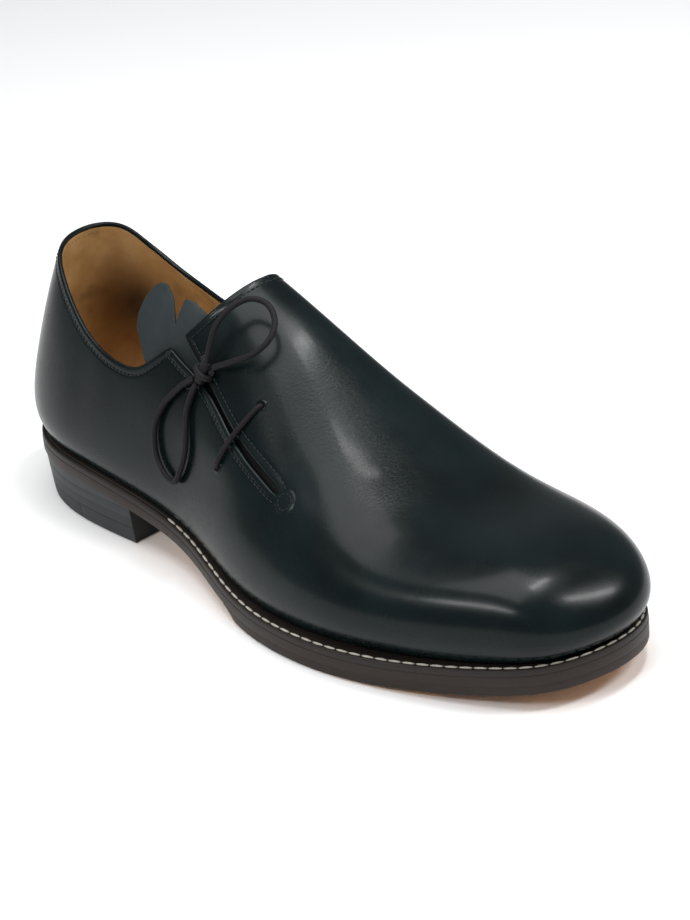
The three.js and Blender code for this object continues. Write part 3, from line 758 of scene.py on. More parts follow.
def firstCrossing(angles, heightOf):
    # the lowest climb at which each column reaches a curve of the side view
    climbs = np.linspace(0, np.pi / 2, 420)
    grid = lastPoint(angles[:, None], climbs[None])
    over = grid[..., 2] - heightOf(grid[..., 0])
    hit = over >= 0
    found = hit.any(axis=1)
    k = np.maximum(hit.argmax(axis=1), 1)
    row = np.arange(len(angles))
    below, above = over[row, k - 1], over[row, k]
    share = np.clip(-below / np.maximum(above - below, 1e-9), 0, 1)
    return np.where(found, climbs[k - 1] + share * (climbs[k] - climbs[k - 1]), np.inf)


def crowded(count, ends):
    # shares from 0 to 1, closer together at the ends that are asked for
    fine = np.linspace(0, 1, 2001)
    weight = 1 + sum(size * np.exp(-((fine - at) / width) ** 2) for at, size, width in ends)
    total = np.concatenate([[0], np.cumsum((weight[1:] + weight[:-1]) / 2)])
    return np.interp(np.linspace(0, 1, count + 1), total / total[-1], fine)


sheetPlan = {
    "searchTo": 215,  # mm along the shoe within which the collar and the slit are looked for
    "endAt": 0.7,  # climb along which the column of the slit's end is looked for
    "toeClimb": 0.62,  # share of the way up at which the sheets meet over the toe
    "levelOver": 0.3,  # radians from the back seam over which both sides become level
    "meetOver": 1.2,
    # where rows are closer together: share of the height, weight, width
    "below": [(1, 2.5, 0.07), (0, 0.8, 0.1)],
    "above": [(1, 1.5, 0.07), (0, 2.0, 0.06)],
}


def upperSheet(counts, rowsBelow, rowsAbove, lower, extra):
    # three grids of lastPoint, welded: below the slit, above it, and the medial side. Each runs up to
    # the curves of collar and slit. Columns are counted from the heel to the slit's two corners, the
    # throat's peak, the slit's end and the toe
    lowEdge, highEdge = slitEdges(extra)

    def edgeHeight(edge):
        inSlit = lambda x: (x > edge[0, 0]) & (x < edge[-1, 0])
        return lambda x: np.where(inSlit(x), np.interp(x, edge[:, 0], edge[:, 1]), 1e3)

    fine = np.linspace(0.02, angleAt(sheetPlan["searchTo"]), 1400)
    collarClimb = firstCrossing(fine, lambda x: collarHeight(0, x, lower))
    lowClimb = firstCrossing(fine, edgeHeight(lowEdge))
    highClimb = firstCrossing(fine, edgeHeight(highEdge))
    left = fine[np.argmax(lowClimb < collarClimb)]
    right = fine[np.argmax(highClimb < collarClimb)]
    peak = fine[np.argmax(~np.isfinite(collarClimb))]
    end = fine[np.argmax(lastPoint(fine, sheetPlan["endAt"])[..., 0] > lowEdge[-1, 0])]
    stops = [0, left, right, peak, end, np.pi]
    parts = []
    for k, count in enumerate(counts):
        share = np.arange(count) / count
        if k == 2:  # the throat's edge runs along the columns near the peak
            share = 1 - (1 - share) ** 2
        parts.append(stops[k] + (stops[k + 1] - stops[k]) * share)
    angles = np.concatenate(parts + [[np.pi]])
    marks = np.cumsum(counts)
    iLeft, iRight, iPeak, iEnd = marks[:4]

    top = np.minimum(firstCrossing(angles, lambda x: collarHeight(0, x, lower)), np.pi / 2)
    top[iPeak:] = np.pi / 2
    c1 = np.minimum(top, firstCrossing(angles, edgeHeight(lowEdge)))
    c2 = firstCrossing(angles, edgeHeight(highEdge))
    c2[iRight] = top[iRight]
    _, endClimb = lateralPlace(*slitLine[-1])
    c1[iEnd] = endClimb
    toeClimb = sheetPlan["toeClimb"] * np.pi / 2
    towardsToe = smoothStep((angles[iEnd:] - angles[iEnd]) / (np.pi - angles[iEnd]))
    c1[iEnd:] = endClimb + (toeClimb - endClimb) * towardsToe
    c2[iEnd:] = c1[iEnd:]
    medialTop = np.minimum(firstCrossing(2 * np.pi - angles, lambda x: collarHeight(1, x, lower)), np.pi / 2)
    medialTop[iPeak:] = np.pi / 2

    level = (medialTop[0] - top[0]) / 2  # both sides meet level at the back seam
    near = np.exp(-(angles / sheetPlan["levelOver"]) ** 2)
    top, c1 = top + level * near, np.where(c1 == top, c1 + level * near, c1)
    medialTop = medialTop - level * near

    belowShares = crowded(rowsBelow, sheetPlan["below"])
    aboveShares = crowded(rowsAbove, sheetPlan["above"])
    n = len(angles)
    sheets = []
    climbA = c1[None] * belowShares[:, None]
    sheets.append((lastPoint(angles[None], climbA), rowsBelow + 1, n))
    climbB = c2[None, iRight:] + (top[iRight:] - c2[iRight:])[None] * aboveShares[:, None]
    sheets.append((lastPoint(angles[None, iRight:], climbB), rowsAbove + 1, n - iRight))
    cover = 1 + (toeClimb / (np.pi / 2) - 1) * smoothStep(angles / sheetPlan["meetOver"])
    climbC = np.vstack([
        medialTop[None] * cover[None] * belowShares[:, None],
        medialTop[None] * (cover[None] + (1 - cover[None]) * aboveShares[1:, None]),
    ])
    sheets.append((lastPoint(2 * np.pi - angles[None], climbC), rowsBelow + rowsAbove + 1, n))

    points, faces, firsts, first = [], [], [], 0
    for k, (grid, rows, columns) in enumerate(sheets):
        points.append(grid.reshape(-1, 3))
        quads = gridFaces(rows, columns, first)
        faces.append(quads if k < 2 else quads[:, ::-1])
        firsts.append(first)
        first += rows * columns
    points, faces, where = weld(np.vstack(points), np.vstack(faces))
    a, b, c = firsts
    bWidth = n - iRight
    collarBack = a + rowsBelow * n + np.arange(iEnd + 1)
    slitAbove = b + np.arange(iEnd - iRight, -1, -1)
    throat = b + rowsAbove * bWidth + np.arange(1, iPeak - iRight + 1)
    medialEdge = c + (rowsBelow + rowsAbove) * n + np.arange(iPeak - 1, 0, -1)
    rim = where[np.concatenate([collarBack, slitAbove, throat, medialEdge])]
    foot = where[np.concatenate([a + np.arange(n), c + np.arange(n - 2, 0, -1)])]
    slitRun = slice(iLeft, iEnd + (iEnd - iRight) + 1)
    return {"points": points, "faces": faces, "normals": pointNormals(points, faces),
            "rim": rim, "foot": foot, "slit": slitRun,
            "endAt": iEnd, "peakAt": iEnd + (iEnd - iRight) + (iPeak - iRight)}


def rimFrame(sheet):
    # normal of the surface and direction out of the leather at each point of the rim
    edge, normal = sheet["points"][sheet["rim"]], sheet["normals"][sheet["rim"]]
    ahead = unit(np.roll(edge, -1, axis=0) - np.roll(edge, 1, axis=0))
    outward = unit(np.cross(normal, ahead))
    if outward[5, 2] < 0:
        outward = -outward
    return edge, normal, outward


def rimReach(sheet, radius):
    # the fold is as wide as the slit allows near its lower end
    reach = np.full(len(sheet["rim"]), radius)
    edge = sheet["points"][sheet["rim"]]
    run = np.arange(len(reach))[sheet["slit"]]
    toEnd = np.linalg.norm(edge[run] - edge[sheet["endAt"]], axis=1)
    least, growth = openings["rollAtEnd"]
    reach[run] = np.minimum(radius, least + growth * toEnd)
    return reach


def nearRim(points, edge, block=2000):
    # distance of each point to the rim, in blocks so that it stays small in memory
    return np.concatenate([
        np.sqrt(((points[start:start + block, None] - edge[None]) ** 2).sum(-1).min(axis=1))
        for start in range(0, len(points), block)
    ])


def closeFaces(outer, inner, faces, border, strips=()):
    # outer and inner face, joined round their border through strips of points
    count, size = len(outer), len(border)
    loops = [border, *(2 * count + size * k + np.arange(size) for k in range(len(strips))), border + count]
    sides = [np.stack([low, np.roll(low, -1), np.roll(high, -1), high], -1)
             for low, high in zip(loops[:-1], loops[1:])]
    return np.vstack([outer, inner, *strips]), np.vstack([faces, faces[:, ::-1] + count, *sides])


def closeSheet(sheet, outerDepth, innerDepth, strips=()):
    # both faces of a sheet at their depths, joined round the rim and round the foot
    points, normals, foot = sheet["points"], sheet["normals"], sheet["foot"]
    solid, faces = closeFaces(points - normals * outerDepth, points - normals * innerDepth,
                              sheet["faces"], sheet["rim"], strips)
    ahead, count = np.roll(foot, -1), len(points)
    return solid, np.vstack([faces, np.stack([ahead, foot, foot + count, ahead + count], -1)])


def eyeletPlaces():
    # places of the punched holes in the side view, lower and upper one of each pair
    places = []
    for along, margin in openings["eyelets"]:
        i = int(round(along * (len(slitLine) - 1)))
        step = unit(slitLine[i + 1] - slitLine[i - 1])
        across = np.array([-step[1], step[0]])
        for reach in (-margin, 0.0, margin):
            places.append(slitLine[i] + across * reach)
    return np.array(places)


eyelets = eyeletPlaces()
eyeletAngles, eyeletClimbs = lateralPlace(eyelets[:, 0], eyelets[:, 1])
eyeletPoints = lastPoint(eyeletAngles, eyeletClimbs)
eyeletNormals = lastNormal(eyeletAngles, eyeletClimbs)
if eyeletNormals[0, 1] > 0:
    eyeletNormals = -eyeletNormals


# Lace: the bow's two loops lie on the route of their solids

lace = {
    "diameter": 2.4,
    "upperLoop": [
        (129.6, -26.6, 87.3), (130.2, -25, 93), (130.8, -21.7, 100.4), (133.1, -15.7, 106.3),
        (136.9, -9.2, 108.7), (142.4, -5.9, 107), (148.4, -7.8, 102.6), (150.7, -12.8, 97.8),
        (148.3, -18.7, 93.5), (141, -23.4, 89.8), (133.4, -26.6, 86.4),
    ],
    "lowerLoop": [
        (123.4, -28.8, 80), (118, -30.2, 76.2), (113.5, -31.8, 71.8), (109.5, -33.3, 67.3),
        (105.9, -35.7, 59.5), (105.7, -37.4, 52.5), (108.1, -38.8, 45.6), (113.6, -39.8, 40.6),
        (119.2, -40.2, 40), (122.5, -39.5, 44.9), (124.5, -37.4, 53.5), (123.4, -35.1, 60.9),
        (122.2, -33, 67), (123.2, -31, 73), (125.4, -29.3, 78.6),
    ],
    "barRadius": 1.05,
}
knot = {
    "middle": (128.0, -27.5, 83.2),
    "axis": (0.35, 0.25, 0.9),
    "reach": (3.4, 2.2),  # half width across the leather and off it
    "turns": (-0.3, 0.95),
    "climb": 2.2,  # mm along the axis per turn
    "core": (4.2, 1.6, 0.3),  # half length, half its straight part and how far that stands off
    "radii": (1.2, 1.9, 1.1),  # wrap, core and strands
}


def makeKnot():
    # one turn of lace round the bow's middle, over two short strands from the eyelets:
    # middle + side wide cos(turn) + off high sin(turn) + axis climb (turn / 2 pi - 0.3)
    middle = np.array(knot["middle"])
    axis = unit(np.array(knot["axis"]))
    off = unit(eyeletNormals[1] - axis * (eyeletNormals[1] @ axis))
    side = np.cross(axis, off)
    turn = np.linspace(*knot["turns"], 60) * 2 * np.pi
    wide, high = knot["reach"]
    wrap = (middle + side * (wide * np.cos(turn))[:, None] + off * (high * np.sin(turn))[:, None]
            + axis * ((turn / (2 * np.pi) - 0.3) * knot["climb"])[:, None])
    half, straight, stand = knot["core"]
    core = smoothLine([middle - axis * half, middle - axis * straight + off * stand,
                       middle + axis * straight + off * stand, middle + axis * half], 24)
    wrapRadius, coreRadius, strandRadius = knot["radii"]
    parts = [braidedTube(wrap, wrapRadius)[:2], braidedTube(core, coreRadius)[:2]]
    for k in (0, 2):
        hole, normal = eyeletPoints[k], eyeletNormals[k]
        strand = smoothLine([hole - normal * 1.6, hole + normal * 0.2,
                             hole * 0.65 + middle * 0.35 + normal * 0.5, middle - off * 1.2], 20)
        parts.append(braidedTube(strand, strandRadius)[:2])
    points, faces = joinParts(parts)
    return makePiece("laceKnot", points, faces, "lace", ["lace_knot"])


def makeLoop(name, route, node):
    # a cord on its route
    line = smoothLine(route, 160)
    points, faces, path, length = braidedTube(line, lace["diameter"] / 2)
    piece = makePiece(name, points, faces, "lace", [node])
    return length


def makeBar():
    # the crossing between the lower pair of holes, its ends bent down into them
    lower, middle, upper = (eyeletPoints[k] for k in (3, 4, 5))
    nLow, nMid, nUp = (eyeletNormals[k] for k in (3, 4, 5))
    along = unit(upper - lower)
    line = smoothLine([
        lower - nLow * 1.8, lower - nLow * 0.3 + along * 0.1, lower + nLow * 0.9 + along * 1.2,
        lower * 0.75 + middle * 0.25 + nLow * 1.35, middle + nMid * 1.5,
        upper * 0.75 + middle * 0.25 + nUp * 1.35, upper + nUp * 0.9 - along * 1.2,
        upper - nUp * 0.3 - along * 0.1, upper - nUp * 1.8,
    ], 70)
    points, faces = braidedTube(line, lace["barRadius"])[:2]
    makePiece("laceBar", points, faces, "lace", ["lace_bar"])


knotPiece = makeKnot()
upperLength = makeLoop("laceLoopUpper", lace["upperLoop"], "lace_loop_upper")
lowerLength = makeLoop("laceLoopLower", lace["lowerLoop"], "lace_loop_lower")
makeBar()
print("lace made: loops of", round(upperLength, 1), "and", round(lowerLength, 1), "mm")


# Upper: one closed skin of calf with a folded edge round the collar and the slit

upperLeather = {
    "columns": (92, 6, 26, 40, 66),
    "rows": (64, 40),
    "thickness": 1.2,
    "foldSteps": 7,
    "foldReturn": 1.3,
    "foldGap": 0.08,
    "grooveAt": 2.3,  # the stitch line sinks into the leather this far from the edge
    "grooveDepth": 0.22,
    "grooveWidth": 0.55,
    "edgeRise": (0.18, 1.6),  # the edge stands proud by the first, fading over the second
    # middle in the frame of the source, half length along x, half width, for the small creases
    "flex": [((176, -8, 77), 30, 9), ((203, -10, 59), 16, 7)],
    # soft troughs pressed in: middle, direction, half length, half width, depth in mm
    "troughs": [
        ((190, -32, 55), (0.75, -0.25, -0.6), 16, 5, 0.5),
        ((150, -39, 44), (1, 0, -0.1), 32, 9, 0.45),
        ((205, 6, 60), (0.1, 1, 0.0), 26, 5, 0.2),
        ((217, 4, 54), (0.15, 1, 0.0), 28, 5, -0.16),
        ((60, -38, 60), (0.2, 0, 1), 22, 9, 0.4),
    ],
}


def handRelief(points):
    # each trough sinks as a bell along its direction and across it
    sunk = np.zeros(len(points))
    for middle, direction, halfLength, halfWidth, depth in upperLeather["troughs"]:
        away = points - np.array(middle)
        along = away @ unit(direction)
        across = np.sqrt(np.maximum((away ** 2).sum(-1) - along ** 2, 0))
        sunk += depth * np.exp(-(along / halfLength) ** 2 - (across / halfWidth) ** 2)
    return -sunk


def flexAmount(points):
    amount = np.zeros(len(points))
    for middle, halfLength, halfWidth in upperLeather["flex"]:
        away = points - np.array(middle)
        size = (away[:, 0] / halfLength) ** 2 + (away[:, 1] ** 2 + away[:, 2] ** 2) / (halfWidth * 2) ** 2
        amount += np.exp(-size)
    return np.clip(amount, 0, 1)


roll = openings["roll"]
skin = upperSheet(upperLeather["columns"], *upperLeather["rows"], lower=roll, extra=roll)
rimEdge, rimNormal, rimOut = rimFrame(skin)
distance = nearRim(skin["points"], rimEdge)
fromGroove = (distance - upperLeather["grooveAt"]) / upperLeather["grooveWidth"]
groove = -upperLeather["grooveDepth"] * np.exp(-fromGroove ** 2)
groove += upperLeather["edgeRise"][0] * np.exp(-(distance / upperLeather["edgeRise"][1]) ** 2)
relief = handRelief(skin["points"]) + groove
skin["points"] = skin["points"] + skin["normals"] * relief[:, None]
rimEdge = skin["points"][skin["rim"]]


def makeUpper():
    # the fold is a half circle: rim + out reach sin(turn) - normal roll (1 - cos(turn))
    reach = rimReach(skin, roll)
    strips = []
    for k in range(1, upperLeather["foldSteps"] + 1):
        turn = np.pi * k / upperLeather["foldSteps"]
        strips.append(rimEdge + rimOut * (reach * np.sin(turn))[:, None]
                      - rimNormal * roll * (1 - np.cos(turn)))
    for share in (0.5, 1.0):
        strips.append(rimEdge - rimOut * upperLeather["foldReturn"] * share
                      - rimNormal * (2 * roll + upperLeather["foldGap"]))
    points, faces = closeSheet(skin, 0.0, upperLeather["thickness"], strips)
    makePiece("upperSkin", points, faces, "calf", ["upper"],
              {"flex": flexAmount(points)}, crease=60)


def makeLining():
    # the painted shade fades as a bell from the middle of its patch
    inset = roll + lining["inset"]
    sheet = upperSheet(lining["columns"], *lining["rows"], lower=inset, extra=inset)
    points, faces = closeSheet(sheet, *lining["faces"])
    middle, reach = lining["wearAndShade"]
    wearAndShade = np.exp(-((points - np.array(middle)) ** 2).sum(-1) / reach ** 2)
    makePiece("lining", points, faces, "lining",
              attributes={"wearAndShade": wearAndShade}, crease=60)


makeUpper()
makeLining()
print("upper and lining made")


# Stitches along the folded edges

seams = {
    "pitch": 2.1, "length": 1.7, "width": 0.5, "height": 0.4,
    "inset": 2.3, "depth": 0.1,  # of the row, from the rim and under the surface
    "inside": {"width": 0.45, "height": 0.35, "inset": 3.1, "depth": 1.9},
}


def rimRow(seam, start, stop):
    # a line on the leather a little inside the rim, from one rim point to another
    index = np.arange(start, stop) % len(rimEdge)
    line = rimEdge[index] - rimOut[index] * seam["inset"] - rimNormal[index] * seam["depth"]
    return line, rimNormal[index]


def rowOfStitches(line, normals, pitch, length, width, height, sink=0.15):
    points, ahead, at, along = evenSteps(line, pitch)
    normal = unit(pickAlong(at, along, normals))
    return stitchRow(points, ahead, normal, length, width, height, sink)


def makeEdgeStitches():
    # runs of the rim between the slit's corners and its end, outside, and along the collar inside
    size, start, end = len(rimEdge), skin["slit"].start, skin["endAt"]
    corner = skin["slit"].stop - 1
    runs = [(0, start - 1), (start + 1, end - 1), (end + 2, corner - 1), (corner + 2, size)]
    inside = [(0, start - 1), (skin["peakAt"] + 6, size)]
    for name, seam, spans, sign, slot in (
        ("collarStitches", seams, runs, 1, "upper_leather"),
        ("liningStitches", seams["inside"], inside, -1, "lining_leather"),
    ):
        rows = [rimRow(seam, *span) for span in spans]
        points, faces = joinParts([
            rowOfStitches(line, sign * normals, seams["pitch"], seams["length"],
                          seam["width"], seam["height"])
            for line, normals in rows
        ])
        makePiece(name, points, faces, "darkThread")


makeEdgeStitches()


# Stay at the slit's end: a small tab with its own row of stitches, and a bar tack at the corner

stay = {
    "half": (4.6, 3.6), "rise": 0.28, "sunk": 0.12, "ahead": 2.2, "under": 0.3, "flex": 0.3,
    "stitchRing": 4, "stitches": (1.7, 1.35, 0.5, 0.4, 0.1),  # pitch, length, width, height, sunk
}
barTack = {"inset": 1.6, "places": (-0.8, 0.0, 0.8), "size": (2.6, 0.6, 0.6)}


def sidePatch(middle, direction, half, depthOut, rows=8, columns=36):
    # an oval of the leather's surface: rings round the middle, domed by depthOut sqrt(1 - ring^6)
    along = unit(direction)
    across = np.array([-along[1], along[0]])
    turn = turns(columns)
    ring = np.linspace(0, 1, rows + 1)[1:]
    long, wide = np.cos(turn), np.sin(turn)
    x, z = (middle[k] + ring[:, None] * (along[k] * long * half[0] + across[k] * wide * half[1])
            for k in (0, 1))
    angle, climb = lateralPlace(x, z)
    base, normal = lastPoint(angle, climb), turnedTo(lastNormal(angle, climb), 1)
    height = depthOut * np.sqrt(np.clip(1 - ring ** 6, 0, 1))
    return base + normal * (height - stay["sunk"])[:, None, None], normal


def makeStay():
    end = slitLine[-1]
    direction = unit(slitLine[-1] - slitLine[-6])
    grid, normal = sidePatch(end + direction * stay["ahead"], direction, stay["half"], stay["rise"])
    rows, columns = grid.shape[:2]
    under = grid[-1].mean(axis=0) - normal[0].mean(axis=0) * stay["under"]
    points = np.vstack([grid.reshape(-1, 3), grid[0].mean(axis=0)[None], under[None]])
    centre = rows * columns
    outer = centre - columns
    faces = [tuple(f) for f in gridFaces(rows, columns, ring=True)]
    faces += [(centre, i, (i + 1) % columns) for i in range(columns)]
    faces += [(outer + (i + 1) % columns, outer + i, centre + 1) for i in range(columns)]
    makePiece("slitStay", points, faces, "calf",
              attributes={"flex": np.full(len(points), stay["flex"])})
    ring = stay["stitchRing"]
    loop, loopNormals = (np.vstack([g[ring], g[ring][:1]]) for g in (grid, normal))
    return rowOfStitches(loop, loopNormals, *stay["stitches"])


def makeBarTack():
    corner = skin["slit"].start
    base = rimEdge[corner] - rimOut[corner] * barTack["inset"]
    ahead = unit(rimEdge[corner + 1] - rimEdge[corner - 1])
    spots = np.array([base + ahead * s for s in barTack["places"]])
    direction, normals = (np.repeat(rows[corner][None], len(spots), axis=0) for rows in (rimOut, rimNormal))
    return stitchRow(spots, direction, normals, *barTack["size"])


points, faces = joinParts([makeStay(), makeBarTack()])
makePiece("stayStitches", points, faces, "darkThread")


eyeletRim = {
    "sides": 24,
    # radius and height of each ring, in mm
    "lip": [(2.5, -0.15), (2.2, 0.1), (1.9, 0.16), (1.7, 0.05), (1.65, -0.2), (2.5, -0.15)],
    # the dark disc is painted shade standing in for the hole; the skin under it is not cut
    "dark": [(0.0, -0.15), (1.75, -0.15), (1.7, 0.04), (0.9, 0.07), (0.0, 0.07)],
}


def makeEyeletRims():
    # a punched hole: a low raised lip of leather round a disc of painted shade for the hole
    turn = turns(eyeletRim["sides"])
    for name, profile, material in (("eyeletLips", eyeletRim["lip"], "calf"),
                                    ("eyeletHoleShade", eyeletRim["dark"], "holeShade")):
        parts = []
        for k in (0, 2, 3, 5):
            centre, normal = eyeletPoints[k], eyeletNormals[k]
            side = unit(np.cross(normal, (0, 0, 1)))
            other = np.cross(normal, side)
            circle = np.cos(turn)[:, None] * side + np.sin(turn)[:, None] * other
            rings = [centre + normal * height + r * circle for r, height in profile]
            faces = gridFaces(len(profile), eyeletRim["sides"], ring=True)
            parts.append((np.vstack(rings), [tuple(f) for f in faces]))
        points, faces = joinParts(parts)
        makePiece(name, points, faces, material,
                  attributes={"flex": np.zeros(len(points))})


makeEyeletRims()


# Tongue: ribs from its lower edge to its upper one, with the notch between the two lobes

tongue = {
    "depth": 2.6,
    "thickness": 1.2,
    "edgeRound": 0.45,
    "wave": (0.35, 0.42),  # height in mm and turns per mm of the leaf's waves, above the height in waveFrom
    "waveFrom": (84, 14),
    "under": (112, 124),  # mm along the shoe over which the leaf turns to near-black painted shade, under the slit
    # lower and upper end of each rib: shares of the length and the back height
    "ribs": [
        (0.297, 0.79, 0.283, 0.85), (0.303, 0.755, 0.281, 0.9), (0.311, 0.725, 0.286, 0.955),
        (0.32, 0.7, 0.295, 0.992), (0.33, 0.69, 0.304, 1.009), (0.338, 0.682, 0.315, 1.008),
        (0.346, 0.675, 0.328, 0.975), (0.353, 0.67, 0.338, 0.92), (0.358, 0.666, 0.345, 0.878),
        (0.364, 0.66, 0.3465, 0.93), (0.372, 0.654, 0.349, 0.976), (0.382, 0.645, 0.362, 0.972),
        (0.396, 0.632, 0.39, 0.94), (0.43, 0.602, 0.43, 0.887), (0.47, 0.567, 0.48, 0.815),
        (0.52, 0.52, 0.53, 0.727), (0.56, 0.482, 0.575, 0.644), (0.6, 0.445, 0.612, 0.582),
        (0.622, 0.462, 0.626, 0.54),
    ],
}


def makeTongue():
    # a sheet under the upper, wave = height sin(x k), closed by a half round of three strips
    ribs = np.array(tongue["ribs"])
    at, ribNumbers = np.linspace(0, len(ribs) - 1, 150), np.arange(len(ribs))
    low, high = (pickAlong(at, ribNumbers, ribs[:, k:k + 2]) * sideScale for k in (0, 2))
    share = np.linspace(0, 1, 44)
    flat = low[None] + (high - low)[None] * share[:, None, None]
    angle, climb = lateralPlace(flat[..., 0], flat[..., 1], tongue["depth"])
    grid = lastPoint(angle, climb, tongue["depth"])
    normal = turnedTo(lastNormal(angle, climb, tongue["depth"]), 1)
    (height, often), (waveLow, waveSpan) = tongue["wave"], tongue["waveFrom"]
    wave = height * np.sin(flat[..., 0] * often) * smoothStep((flat[..., 1] - waveLow) / waveSpan)
    grid = grid + normal * wave[..., None]
    rows, columns = grid.shape[:2]
    inner = grid - normal * tongue["thickness"]
    border = gridBorder(rows, columns)
    rounded, strips = [], 3
    edge = grid.reshape(-1, 3)[border]
    edgeNormal = normal.reshape(-1, 3)[border]
    out = unit(np.cross(unit(np.roll(edge, -1, axis=0) - np.roll(edge, 1, axis=0)), edgeNormal))
    inwards = grid.reshape(-1, 3).mean(axis=0) - edge
    if (out * inwards).sum() > 0:
        out = -out
    for k in range(1, strips + 1):
        turn = np.pi * k / (strips + 1)
        rounded.append(edge + out * tongue["edgeRound"] * np.sin(turn)
                       - edgeNormal * tongue["thickness"] / 2 * (1 - np.cos(turn)))
    points, faces = closeFaces(grid.reshape(-1, 3), inner.reshape(-1, 3), gridFaces(rows, columns),
                               border, rounded)
    # painted shade: 1 where the slit covers the leaf, which the material mixes to near black
    under = smoothStep((points[:, 0] - tongue["under"][0]) / (tongue["under"][1] - tongue["under"][0]))
    makePiece("tongueLeaf", points, faces, "tongue", ["tongue"],
              {"under": under})


makeTongue()


# Back strip: a narrow strap of calf over the heel seam, stitched down both sides

strap = {
    "halfWidth": (5.6, 7.2),  # at the top and at the rand
    "top": 0.955, "lift": 0.2, "thickness": 1.15,
    "runOut": 0.06, "sunk": 0.08,  # share of the height over which the top thins, and how far it sinks
    "under": 0.35, "threads": (4, -5), "stitches": (2.2, 1.7, 0.5, 0.4),
    "tableHalf": 0.22, "tableTop": 1.2,  # radians round the heel and up the wall that the table covers
}


def makeBackStrip():
    # columns across the strap, rows from the rand to just under the collar; each row's angle and
    # climb are read from a table of the last's surface, at the row's height and across the centre
    heights = np.linspace(upperFoot(0.0) + 0.2, strap["top"] * sole["backHeight"], 70)
    share = np.linspace(-1, 1, 31)
    centre = sole["outline"][0][1] * ballWidth  # the back seam
    half = np.interp(heights, (heights[0], heights[-1]), (strap["halfWidth"][1], strap["halfWidth"][0]))
    width = half[:, None] * share[None]
    angles = np.linspace(-strap["tableHalf"], strap["tableHalf"], 400)
    climbs = np.linspace(0, strap["tableTop"], 500)
    table = lastPoint(angles[:, None], climbs[None])
    rowPlace = np.stack([np.interp(heights, line[:, 2], climbs) for line in table], 1)
    onRow = lastPoint(angles[None], rowPlace)
    angle = np.stack([np.interp(centre - w, -row[:, 1], angles) if row[0, 1] > row[-1, 1]
                      else np.interp(centre + w, row[:, 1], angles) for w, row in zip(width, onRow)])
    climb = np.stack([np.interp(a, angles, c) for a, c in zip(angle, rowPlace)])
    grid, normal = lastPoint(angle, climb), turnedTo(lastNormal(angle, climb), 0)
    fall = np.sqrt(np.clip(1 - np.abs(share) ** 10, 0, 1))[None, :, None]
    ends = smoothStep(np.linspace(1, 0, len(heights)) / strap["runOut"])[:, None, None]
    lift = strap["lift"] * ends
    sunk = strap["sunk"] * (1 - ends)  # the top runs out under the collar's fold
    outer = grid + normal * (lift + strap["thickness"] * fall * ends - sunk)
    inner = grid + normal * (lift - strap["under"])
    rows, columns = outer.shape[:2]
    points, faces = closeFaces(outer.reshape(-1, 3), inner.reshape(-1, 3), gridFaces(rows, columns),
                               gridBorder(rows, columns))
    makePiece("backStrap", points, faces, "calf", ["back_strip"],
              {"flex": np.zeros(len(points))}, crease=50)
    points, faces = joinParts([
        rowOfStitches(outer[2:-2, column], normal[2:-2, column], *strap["stitches"])
        for column in strap["threads"]
    ])
    makePiece("strapStitches", points, faces, "darkThread")


makeBackStrip()
print("tongue, back strap and stitches made")


# Sole layers: a closed profile at each station, carried from the heel to the toe

layers = {
    "stations": 150,
    "across": 14,
    "outsoleRound": 0.03,
    "halfSoleRound": 0.9,
    "liftLines": (11.4, 15.6),
    "liftGroove": (0.2, 0.08),  # half width and depth of the line between two lifts
    "breastDepth": 6.0,
    "breastHalf": 0.36,  # share of the ball width
    "breastFrom": 52,
    "heelTaper": 1.8,
    "edgeInset": 0.5,
    "weltInset": 0.15,
    "topPiece": 7.0,
    "topPieceRound": 0.8,
    "rubberShare": 0.6,
}


def layerMesh(start, end, stations, lateralProfile):
    # lateralProfile(x) gives rows of inset and height from the lower face to the upper one
    across = layers["across"]
    angles = np.linspace(angleAt(start), angleAt(end), stations + 1)
    loops = []
    for angle in angles:
        x = soleLength / 2 * (1 - math.cos(angle))
        profile = np.array(lateralProfile(x))
        sides = []
        for turned in (angle, 2 * math.pi - angle):
            px, py = edgePoint(turned, profile[:, 0])
            sides.append(np.stack([px, py, profile[:, 1]], -1))
        lateral, medial = sides
        share = np.linspace(0, 1, across + 1)[1:-1, None]
        over = lateral[-1] + (medial[-1] - lateral[-1]) * share
        below = medial[0] + (lateral[0] - medial[0]) * share
        loops.append(np.vstack([lateral, over, medial[::-1], below]))
    size = len(loops[0])
    faces = [tuple(f) for f in gridFaces(len(loops), size, ring=True)]
    if start > 0:
        faces.append(tuple(range(size)))
    if end < soleLength:
        faces.append(tuple(range((len(loops) - 1) * size, len(loops) * size))[::-1])
    return np.vstack(loops), faces


def roundedProfile(low, high, radius, inset=0.0, lowInset=None, over=None):
    # straight side with a quarter round at its lower and upper corner: inset + r (1 - sin a) and
    # low + r (1 - cos a) below, high - r (1 - cos a) above
    lowInset = inset if lowInset is None else lowInset
    rows = [(lowInset + radius, low)]
    for turn in (30, 60, 90):
        a = math.radians(turn)
        rows.append((lowInset + radius * (1 - math.sin(a)), low + radius * (1 - math.cos(a))))
    small = radius * 0.2 if over is None else over
    for turn in (90, 60, 30, 0):
        a = math.radians(turn)
        rows.append((inset + small * (1 - math.sin(a)), high - small * (1 - math.cos(a))))
    return rows


def twoFaced(piece, material, steepness=0.75):
    # the lower face takes the second material
    mesh = piece.data
    mesh.materials.append(material)
    down = np.zeros(len(mesh.polygons) * 3)
    mesh.polygons.foreach_get("normal", down)
    mesh.polygons.foreach_set("material_index", (down.reshape(-1, 3)[:, 2] < -steepness).astype(np.int32))
    mesh.update()


def makeOutsole():
    fit = sole["gap"] / 2

    def profile(x):
        low = soleUnder(x)
        return roundedProfile(low, low + sole["outsole"] + fit, layers["outsoleRound"], over=0.1)

    points, faces = layerMesh(0, soleLength, layers["stations"], profile)
    piece = makePiece("fullSole", points, faces, "edge", ["outsole"])
    twoFaced(piece, materials["sole"])


